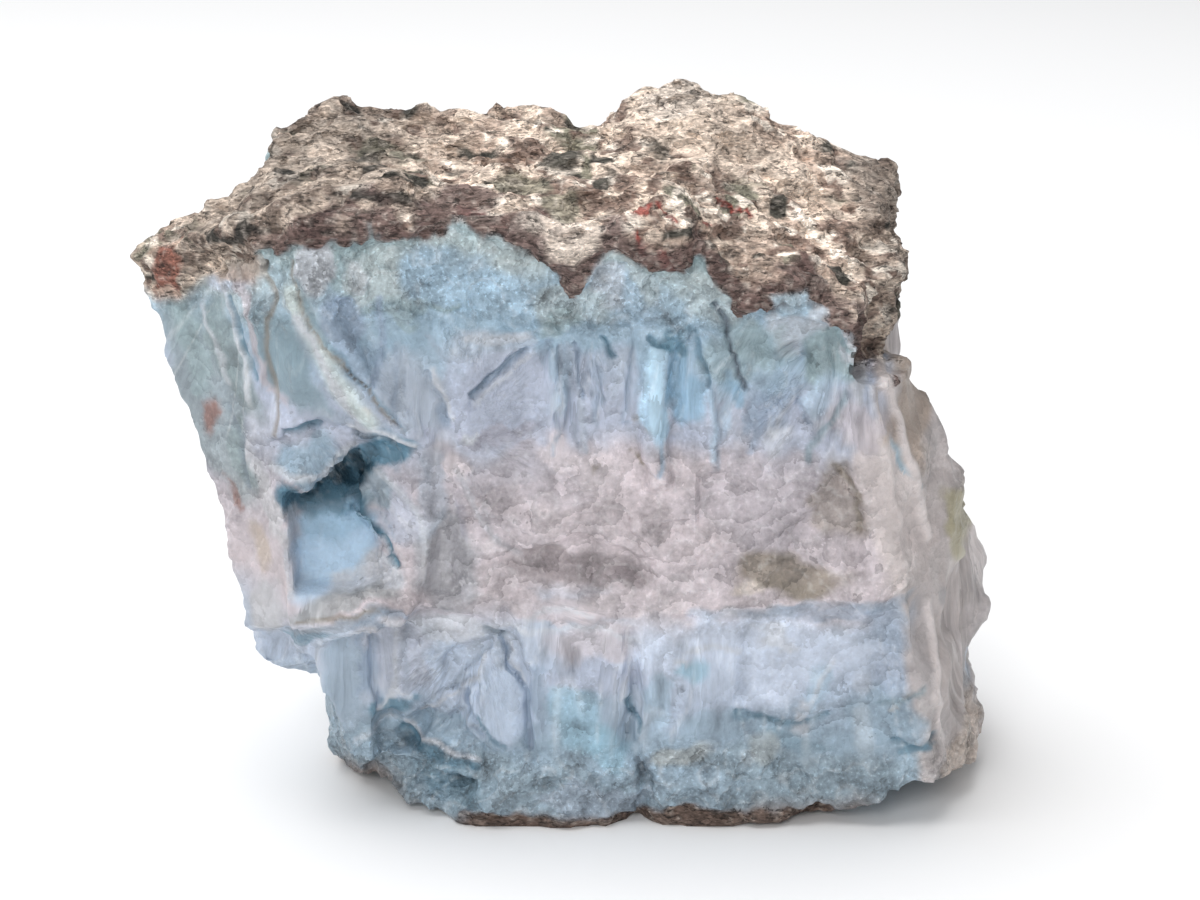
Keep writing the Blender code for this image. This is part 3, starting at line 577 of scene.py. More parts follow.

# Patches of colour of the front face, among them painted shade in the pit, the hollows, the cracks,
# the gaps between blades and under the rim, ledges and blocks: tone, middle x and z, half width,
# half height, turn, strength
FRONT_PATCHES = {
    "upper band": ("sky", -1.3, 53.8, 30.0, 6.2, -6, 0.75),
    "upper fans": ("lavender", -5.3, 46.6, 13.0, 4.7, -3, 0.8),
    "sugar block": ("frost", -25.4, 60.3, 2.0, 2.7, 0, 0.9),
    "sugar, left": ("green white", -19.1, 58.9, 3.4, 3.1, 0, 0.9),
    "sugar, sky blue": ("sky", -10.6, 57.9, 5.6, 4.4, 0, 0.9),
    "sugar under the drip": ("green white", -1.2, 56.4, 3.8, 2.1, -10, 0.7),
    "sugar, middle": ("pale sky", 5.7, 56.4, 3.8, 3.3, 0, 0.6),
    "sugar, right of middle": ("green white", 14.5, 56.9, 2.6, 2.7, 0, 0.7),
    "seam": ("sea green", -23.0, 60.7, 0.6, 3.1, 0, 0.7),
    "seam, arc": ("sea green", -21.8, 56.9, 1.6, 0.6, -40, 0.7),
    "seam, foot": ("sea green", -17.9, 55.1, 2.8, 0.5, -8, 0.7),
    "shaded blue": ("shade blue", -22.4, 54.6, 3.4, 2.7, -35, 0.8),
    "grey fan": ("fan grey", -16.0, 47.9, 3.6, 4.4, 0, 0.85),
    "fan over the vee": ("pale lavender", -8.2, 52.3, 4.5, 2.3, 0, 0.7),
    "smooth block": ("lavender", -6.3, 47.4, 4.4, 3.8, 0, 0.85),
    "narrow blades": ("sky", -0.3, 48.7, 1.4, 4.7, 0, 0.6),
    "blades, right": ("lavender", 4.2, 47.6, 2.2, 5.2, 0, 0.6),
    "bright blade": ("bright blue", 8.6, 47.6, 1.3, 5.7, 0, 0.85),
    "blue hollow": ("sky deep", 11.9, 48.2, 1.6, 3.8, 0, 0.9),
    "hollow, top": ("teal shade", 11.4, 52.5, 0.9, 1.7, 10, 0.9),
    "hollow, foot": ("lavender", 12.2, 42.4, 2.4, 2.5, 0, 0.8),
    "sea green, right": ("sea green", 16.1, 51.8, 2.6, 3.5, 0, 0.6),
    "blue wedge": ("sky deep", 16.0, 47.6, 1.0, 1.9, 0, 0.7),
    "pale, right": ("frost", 21.5, 53.3, 2.6, 1.9, 0, 0.7),
    "green, right": ("sea green", 26.0, 50.7, 3.0, 3.3, 0, 0.9),
    "shaded fan, right": ("shade blue", 20.2, 46.1, 3.0, 2.7, 30, 0.6),
    "pale fan, right": ("pale sky", 26.2, 46.6, 2.0, 2.1, 0, 0.6),
    "fan foot, right": ("lavender", 22.8, 40.9, 5.0, 3.1, 0, 0.7),
    "white line": ("frost", 28.3, 49.5, 0.5, 2.7, 20, 0.8),
    "centre": ("pink", 6.7, 35.0, 11.0, 7.3, 0, 0.95),
    "centre, right": ("pink grey", 18.9, 36.1, 7.0, 5.2, 0, 0.8),
    "centre, left": ("pink grey", -3.3, 39.3, 7.0, 3.1, 0, 0.7),
    "below the smooth block": ("shade pink", -6.8, 43.3, 5.0, 0.9, 0, 0.7),
    "grey left": ("grey", -12.1, 29.7, 3.4, 6.2, 0, 0.9),
    "pale left": ("pink grey", -12.9, 39.3, 2.6, 2.9, 0, 0.8),
    # Painted shade in the middle hollow
    "middle hollow": ("hollow shade pink", 0.7, 29.0, 7.0, 1.5, 0, 0.85),
    "under the hollow": ("pink", -0.4, 25.3, 8.0, 1.7, 0, 0.8),
    "olive": ("olive", 22.1, 28.1, 6.2, 2.7, -8, 0.9),
    "olive, arch": ("olive", 27.2, 36.1, 1.8, 4.2, 10, 0.6),
    "olive, dark": ("olive brown", 23.1, 26.4, 4.5, 1.0, -6, 0.7),
    "olive, pale middle": ("pink grey", 20.0, 31.3, 3.4, 1.0, 0, 0.6),
    "shade by the strip": ("dusk shade blue", -21.9, 53.3, 2.2, 4.6, 32, 0.7),
    "left of the strip": ("teal mist", -27.5, 50.7, 2.4, 6.5, 16, 0.9),
    "strip foot": ("cream", -20.1, 44.8, 0.9, 0.9, 0, 0.8),
    "grey under the strip": ("grey blue", -21.3, 43.5, 4.5, 1.2, -10, 0.8),
    "pit surround": ("fan grey", -14.5, 36.1, 1.8, 5.2, 0, 0.6),
    "ledge": ("ledge blue", -26.9, 40.9, 3.0, 2.3, 0, 0.95),
    # Painted shadow in the pit under the overhanging ledge, down to its deepest corner
    "pit shade": ("pit shadow", -20.2, 40.9, 4.4, 1.8, 8, 0.95),
    "pit, left corner": ("pit shadow", -28.4, 37.0, 2.4, 1.4, 12, 0.95),
    "pit, deepest": ("shadow teal", -25.3, 37.8, 4.4, 1.4, 24, 1),
    "pit panel": ("pit blue", -25.0, 30.8, 5.0, 5.0, 0, 1),
    "pit panel, upper": ("pit sky", -25.5, 33.4, 4.4, 1.9, 8, 0.8),
    # Painted shadow of the ledge across the top of the panel
    "pit panel, top": ("pit shadow", -26.1, 35.8, 4.2, 1.4, 14, 0.85),
    "sheet": ("lavender grey", -18.1, 34.0, 2.6, 4.4, 28, 0.95),
    # Painted shade on the face over the fan sheet
    "sheet, upper": ("teal mist", -21.3, 37.2, 1.6, 2.1, 30, 0.7),
    "pit foot": ("frost", -20.3, 27.3, 4.0, 1.5, 0, 0.85),
    "rim": ("sand", -23.9, 25.0, 6.6, 1.2, 6, 0.8),
    # Painted shadow under the overhanging rim
    "under the rim": ("grey shade", -24.0, 22.3, 6.0, 0.9, 14, 0.8),
    "lower left blades": ("pale lavender", -23.1, 16.5, 3.4, 6.2, 0, 0.8),
    "band over the blades": ("frost", -16.8, 21.0, 6.0, 1.9, 0, 0.6),
    "first blade": ("ledge blue", -23.2, 15.4, 2.2, 5.0, 0, 0.6),
    "second blade": ("lavender grey", -17.9, 17.7, 3.2, 3.8, 0, 0.7),
    "ray blades": ("big blade", -12.8, 16.5, 3.6, 3.1, 35, 0.7),
    "big blade": ("big blade", -7.7, 13.2, 3.0, 4.6, 15, 0.95),
    "big blade, root": ("grey blue", -7.6, 19.3, 1.6, 1.7, 0, 0.7),
    # Painted shade in the left hollow
    "left hollow": ("teal shade", -18.6, 11.8, 2.2, 1.5, 0, 0.9),
    "lit facet": ("ledge blue", -12.9, 9.3, 3.6, 1.9, -25, 0.8),
    # Painted shadow in the crevice under the lit facet
    "crevice": ("shadow teal", -14.0, 6.4, 5.2, 1.2, -14, 0.7),
    "left foot": ("low teal", -14.1, 3.6, 4.4, 2.3, -20, 0.8),
    "lower band": ("white blue", 17.1, 18.8, 13.0, 4.8, 0, 0.9),
    "lower middle": ("pink", 1.7, 21.0, 5.0, 2.7, 0, 0.7),
    "lower middle, grey": ("lavender", 1.7, 16.5, 5.0, 2.7, 0, 0.8),
    "teal bloom": ("bright teal", 0.1, 11.5, 3.0, 3.5, 30, 0.6),
    "teal bloom, right": ("bright teal", 3.7, 8.9, 2.6, 1.9, -20, 0.6),
    "lower blue": ("lower blue", 13.0, 15.4, 6.0, 3.1, 0, 0.6),
    "bright lower": ("white blue", 23.3, 18.2, 6.0, 3.1, 0, 0.7),
    "blue sliver, right": ("lower blue", 31.5, 21.0, 3.0, 2.1, 0, 0.6),
    "lower teal": ("lower teal", 19.3, 10.4, 12.0, 2.3, -3, 0.85),
    "lower sugar": ("lower sugar", 22.5, 7.0, 13.0, 2.1, -2, 0.8),
    "left lower sugar": ("lower sugar", -5.7, 4.7, 8.0, 2.9, -6, 0.8),
    "right lower teal": ("lower teal", 32.8, 12.1, 3.6, 3.1, 0, 0.8),
    "foot, frost": ("grey blue", 2.7, 3.0, 6.0, 1.7, 0, 0.6),
    # Painted shade under the olive patch and to its right
    "dusk under the olive": ("dusk shade blue", 26.3, 23.4, 9.5, 0.9, -2, 0.65),
    "dusk, right": ("dusk shade blue", 32.8, 21.8, 2.6, 2.3, 0, 0.5),
    "white field": ("white blue", 19.0, 18.5, 5.0, 2.7, -8, 0.8),
    "white flake": ("frost", 20.7, 21.0, 2.6, 0.9, -20, 0.7),
    "blue facet": ("pale sky", 26.2, 15.4, 1.5, 2.9, -25, 0.8),
    "teal flake": ("bloom blue", 11.4, 17.4, 2.0, 1.4, 0, 0.8),
    "teal flake, light": ("frost", 10.7, 19.2, 1.6, 0.4, -10, 0.7),
    "pale blob": ("pale sky", 7.7, 14.3, 1.3, 2.7, 10, 0.8),
    "white blob": ("frost", 23.8, 12.3, 1.2, 1.4, 0, 0.8),
    "teal nick": ("teal shade", 19.1, 12.5, 1.8, 0.5, -6, 0.6),
    "teal nick, left": ("teal shade", 16.1, 12.5, 1.0, 0.5, 10, 0.6),
    "low teal band": ("low teal", 23.0, 10.0, 4.6, 0.9, 0, 0.6),
    "grey chunk": ("chunk grey", 10.4, 8.4, 2.6, 1.9, 0, 0.8),
    "chunk, right": ("chunk grey", 19.4, 8.7, 2.0, 1.2, 0, 0.6),
    "dark cleft": ("grey shade", 7.5, 6.7, 0.5, 1.8, -8, 0.8),
    "teal nick, far right": ("teal shade", 35.3, 9.5, 1.7, 0.5, 12, 0.7),
    "sugar, bright": ("frost", -7.4, 53.2, 2.4, 1.0, 12, 0.6),
    "sugar, white": ("green white", 6.6, 58.5, 3.0, 1.2, -30, 0.7),
    "sugar, sage": ("sea green", -1.3, 54.6, 2.6, 1.5, 0, 0.7),
    "sugar, sage right": ("sea green", 18.6, 52.3, 3.4, 1.5, -20, 0.5),
    "vee, dark spot": ("grey shade", -12.9, 45.3, 0.4, 0.8, 0, 0.6),
    "vee, white": ("frost", -10.3, 44.0, 1.0, 0.4, -10, 0.9),
    "flake, left": ("pale pink", -12.2, 40.0, 1.8, 0.9, 10, 0.8),
    "flake, middle": ("pale pink", -1.0, 40.4, 2.4, 1.4, -10, 0.6),
    "flake, right": ("pale pink", 3.3, 39.3, 2.4, 1.6, 0, 0.6),
    "rust speck": ("olive brown", 6.2, 40.7, 0.4, 0.5, 20, 0.8),
    "rust speck, upper": ("olive brown", 7.2, 45.3, 0.3, 0.5, 0, 0.5),
    "rust speck, left": ("olive brown", 2.5, 39.6, 0.4, 0.3, 0, 0.6),
    "pale lobe": ("pale pink", 1.7, 25.6, 3.0, 0.9, 6, 0.8),
    "pale lobe, right": ("pale pink", 8.8, 24.7, 3.6, 0.7, 8, 0.8),
    "cream by the olive": ("cream", 17.8, 26.4, 1.4, 0.7, 15, 0.7),
    # Painted shade in the cells of the middle hollow
    "dark cell": ("hollow shade pink", -1.2, 29.7, 1.3, 1.5, 0, 0.8),
    "dark cell, right": ("hollow shade pink", 6.8, 28.1, 2.6, 0.6, 0, 0.7),
    # Painted shadow under the rim
    "under the rim, left": ("teal shade", -26.9, 20.5, 3.4, 0.7, 12, 0.75),
    "under the rim, right": ("dusk shade blue", -19.4, 22.9, 3.4, 0.6, 16, 0.7),
    # Painted shade in the gaps between the lower blades
    "blade gap, left": ("shade blue", -21.4, 17.0, 0.5, 3.5, 0, 0.8),
    "blade gap, ray": ("dusk shade blue", -15.0, 11.8, 1.8, 0.6, -30, 0.6),
    "blade gap, right": ("dusk shade blue", -3.9, 14.3, 0.6, 4.6, 0, 0.6),
    "slab over the blades": ("frost", -10.9, 22.1, 3.4, 0.8, 8, 0.7),
    "white tip": ("frost", -18.5, 14.1, 0.8, 0.5, 0, 0.8),
    # Pale and dark streaks along the blades of the upper fans; the dark ones are painted shade
    "light, fan left": ("pale sky", -13.2, 52.3, 2.0, 3.1, -20, 0.5),
    "dark, block edge": ("dusk shade blue", -2.5, 50.7, 0.5, 3.1, 0, 0.6),
    "dark, upper blades": ("dusk shade blue", 3.1, 46.6, 0.6, 3.5, 0, 0.6),
    "light, upper blades": ("pale lavender", 4.9, 49.5, 0.9, 3.5, 0, 0.6),
    "light, blue wedge": ("pale sky", 14.3, 46.6, 0.8, 4.2, 0, 0.6),
    "dark, right fan": ("dusk shade blue", 17.9, 45.4, 0.9, 2.7, -20, 0.6),
    "light, right fan": ("frost", 21.0, 42.4, 1.2, 2.3, -30, 0.5),
    "white, sugar right": ("frost", 25.0, 54.8, 2.0, 1.5, 20, 0.7),
    "white, sugar middle": ("frost", 2.7, 57.9, 2.0, 1.7, -10, 0.6),
    "white, sugar left": ("frost", -20.4, 59.4, 1.2, 1.9, 0, 0.5),
    "sage, sugar left": ("sea green", -16.5, 56.4, 2.2, 1.0, 0, 0.6),
    "dark grey left": ("shade pink", -10.5, 34.0, 0.8, 2.7, 20, 0.7),
    "pale over the grey": ("pink", -5.9, 36.1, 2.6, 1.7, 0, 0.5),
    "bevel, whole": ("bevel teal", -37.7, 46.0, 3.8, 11.5, 20, 0.7),
    "bevel, white block": ("lavender", -33.9, 56.9, 2.6, 1.7, 0, 0.7),
    "bevel, teal": ("bevel teal", -34.5, 49.2, 2.4, 5.6, 22, 0.85),
    "bevel, dark teal": ("sea green", -39.3, 50.2, 1.4, 4.8, 22, 0.7),
    "bevel, lower teal": ("bevel teal", -33.7, 40.2, 1.2, 3.5, 10, 0.7),
    "bevel, ridge": ("pink grey", -30.6, 52.3, 0.7, 6.5, 14, 0.8),
    "bevel, ridge foot": ("bevel grey", -31.5, 36.1, 1.0, 6.2, 6, 0.8),
    "bevel, rust": ("rust", -37.6, 43.6, 0.7, 1.8, 20, 0.9),
    "bevel, low rust": ("rust", -35.6, 36.0, 0.7, 1.9, 20, 0.85),
    "bevel, tan": ("sand tan", -33.2, 29.9, 1.4, 2.7, 14, 0.85),
    "bevel, pale": ("bevel grey", -31.6, 23.3, 1.8, 4.2, 0, 0.9),
    "left end, rust": ("rust", -42.2, 57.1, 1.5, 1.5, 30, 0.95),
    "left end, tan block": ("wall tan", -33.1, 58.6, 2.6, 1.9, 0, 0.8),
    "plate, pink": ("plate", 32.1, 35.8, 3.4, 10.4, 10, 0.9),
    "plate, upper": ("pink grey", 29.6, 44.2, 2.2, 3.8, 10, 0.7),
    "plate, white": ("pale plate", 33.3, 38.3, 1.4, 6.2, 24, 0.8),
    "plate, side": ("plate grey", 40.2, 19.0, 2.4, 11.5, 0, 0.9),
    "plate, blue sliver": ("blue sliver", 34.1, 39.7, 0.6, 3.1, 28, 0.95),
    "plate, olive stain": ("sand tan", 31.7, 43.1, 0.7, 1.2, 0, 0.7),
    "slab, olive": ("olive slab", 40.8, 30.6, 1.6, 5.8, 20, 0.95),
    "slab, pale": ("pale plate", 43.6, 23.7, 1.2, 3.1, 10, 0.6),
    "plate, grey spot": ("plate spot", 39.4, 23.4, 0.8, 1.2, 20, 0.7),
    "plate, low tan": ("sand tan", 41.7, 5.6, 2.2, 4.2, 0, 0.8),
    "plate, knob": ("wall tan", 44.8, 3.8, 1.0, 1.7, 0, 0.8),
    "upper right, grey": ("wall grey", 35.2, 43.4, 2.6, 4.6, 20, 0.85),
}

# Smooth, nearly even faces of the front: middle x and z, half width, half height, how even
CALM_FACES = {
    "pit panel": (-25, 31.5, 5.5, 6.0, 1.0),
    "block of the upper band": (-7, 47, 4.6, 4.2, 0.7),
    "fan left of the vee": (-16, 50, 4.0, 5.0, 0.7),
    "left of the white strip": (-27, 50.5, 3.0, 7.0, 0.8),
    "right plate": (38, 25, 3.4, 14.0, 0.9),
    "upper plate": (33, 38, 3.6, 9.0, 0.9),
    "left rim": (-33, 26, 3.5, 8.0, 0.8),
    "big blade": (-7, 12.5, 3.6, 5.0, 0.9),
    "first blade": (-22, 14, 4.0, 6.0, 0.7),
    "lower band": (21, 18, 11, 4.0, 0.6),
}

# Such a face is even up to the first share of its size and ends at the second, in front of
# CALM_ZONE. It loses this much of the fine relief and of the drawn grain
CALM_EDGE = (0.75, 1.2)
CALM_ZONE = 2
CALM_RELIEF = 0.7
CALM_GRAIN = 0.65

# Patches of the wall rock seen from above: tone, middle x and y, half width, half depth, strength
WALL_PATCHES = {
    "hump": ("wall cream", 12.3, 4.2, 6.2, 8.6, 0.8),
    "hump, crown": ("cream", 11.8, 5.4, 4.0, 4.0, 0.6),
    "middle cream": ("wall cream", 17.4, -1.4, 7.0, 4.7, 0.6),
    "cream tongue": ("cream", -1.2, -22.5, 6.0, 2.4, 0.6),
    "left cream": ("wall cream", -26.7, -1.0, 3.0, 7.5, 0.6),
    "left end": ("wall grey", -40.1, -14.4, 3.4, 6.8, 0.5),
    "left shelf": ("wall cream", -34.5, -10.4, 4.0, 5.4, 0.6),
    "left tan": ("wall tan", -27.2, -15.7, 4.0, 5.6, 0.5),
    "olive, left": ("wall olive", -19.1, -3.5, 4.6, 5.2, 0.9),
    "olive, left dark": ("wall dark", -21.1, -9.4, 1.5, 2.6, 0.85),
    "olive, middle": ("wall olive", -5.4, -12.3, 3.4, 3.4, 0.8),
    "black patch": ("wall dark", -1.7, -3.2, 2.0, 2.8, 0.95),
    "black spot, left": ("wall dark", -18.8, 12.6, 1.0, 1.7, 0.9),
    "black spot, right": ("wall dark", 8.1, -3.5, 1.2, 2.1, 0.8),
    "black spot, middle": ("wall dark", 3.9, -8.9, 0.8, 1.5, 0.8),
    "olive spot, middle": ("wall olive", -1.3, -17.1, 2.2, 2.5, 0.8),
    "olive spot, right": ("wall olive", 17.6, -7.1, 2.0, 1.4, 0.6),
    "red fleck, left": ("wall red", 6.6, -21.7, 0.8, 0.5, 0.9),
    "red fleck, middle": ("wall red", 8.8, -21.3, 0.8, 0.4, 0.9),
    "red fleck, right": ("wall red", 13.1, -18.9, 0.6, 0.4, 0.8),
    "red spot": ("wall red", -10.4, -18.8, 1.2, 1.6, 1),
    "red streak, right": ("wall red", 16.7, -11.7, 1.8, 0.4, 0.9),
    "right grey": ("wall grey", 31.7, 4.1, 2.6, 8.9, 0.7),
    "right cream": ("wall cream", 23.7, -2.3, 4.0, 3.0, 0.5),
    "left end, rust": ("wall rust", -42.0, -14.0, 1.8, 4.0, 0.9),
}

# Each is full and ends at these shares of its size, starts between these heights, and wanders
WALL_PATCH_EDGE = (0.88, 1.08)
WALL_PATCH_ABOVE = (50, 55)
WALL_WAVES_X = ((4.0, 1.0, 71), (1.0, 0.6, 73))
WALL_WAVES_Y = ((4.0, 1.0, 72), (1.0, 0.6, 74))

# Smears and spots of the wall rock: tone, size and strength, seed, where the spot starts and is full
WALL_MOTTLES = (
    ("wall cream", (7.0, 1.0), 76, -0.15, 0.25),
    ("wall brown", (4.0, 1.0), 77, 0.25, 0.40),
    ("wall tan", (2.4, 1.0), 81, 0.15, 0.35),
    ("wall cream", (1.9, 1.0), 83, 0.20, 0.30),
    ("wall olive", (4.4, 1.0), 78, 0.45, 0.51),
    ("wall white", (1.5, 1.0), 79, 0.34, 0.42),
    ("wall brown", (1.3, 1.0), 82, 0.34, 0.42),
    ("wall dark", (2.4, 1.0), 80, 0.56, 0.62),
)

# The wall rock is layered, so its smears and spots are wider than they are tall
WALL_LAYERED = (0.8, 1.0, 1.7)

# How bright the wall rock is along x
WALL_SHADE = (
    (-46, 0.86), (-38, 0.68), (-32, 0.44), (-22, 0.50), (-12, 1.08),
    (7, 1.06), (17, 0.92), (25, 1.34), (31, 0.70), (37, 0.38),
)

# Chalky flakes of its left half: size and strength, where they start and are full, how strong
# they are, and the x between which they end
WALL_CHALK = (1.8, 1.0)
WALL_CHALK_SPOTS = (0.22, 0.36)
WALL_CHALK_STRENGTH = 0.55
WALL_CHALK_END = (-14, -8)

# The iron-stained band along its lower edge: waves, height over the crust's line, how strong it
# is, in front of what depth, and the x between which it starts
WALL_EDGE_WAVES = (2, 1.4)
WALL_EDGE_BAND = (2.2, 3.8)
WALL_EDGE_STRENGTH = 0.9
WALL_EDGE_ZONE = -14
WALL_EDGE_FROM = (-34, -28)

# How strong the dark colour of the remains at the foot is
FOOT_STRENGTH = 0.85
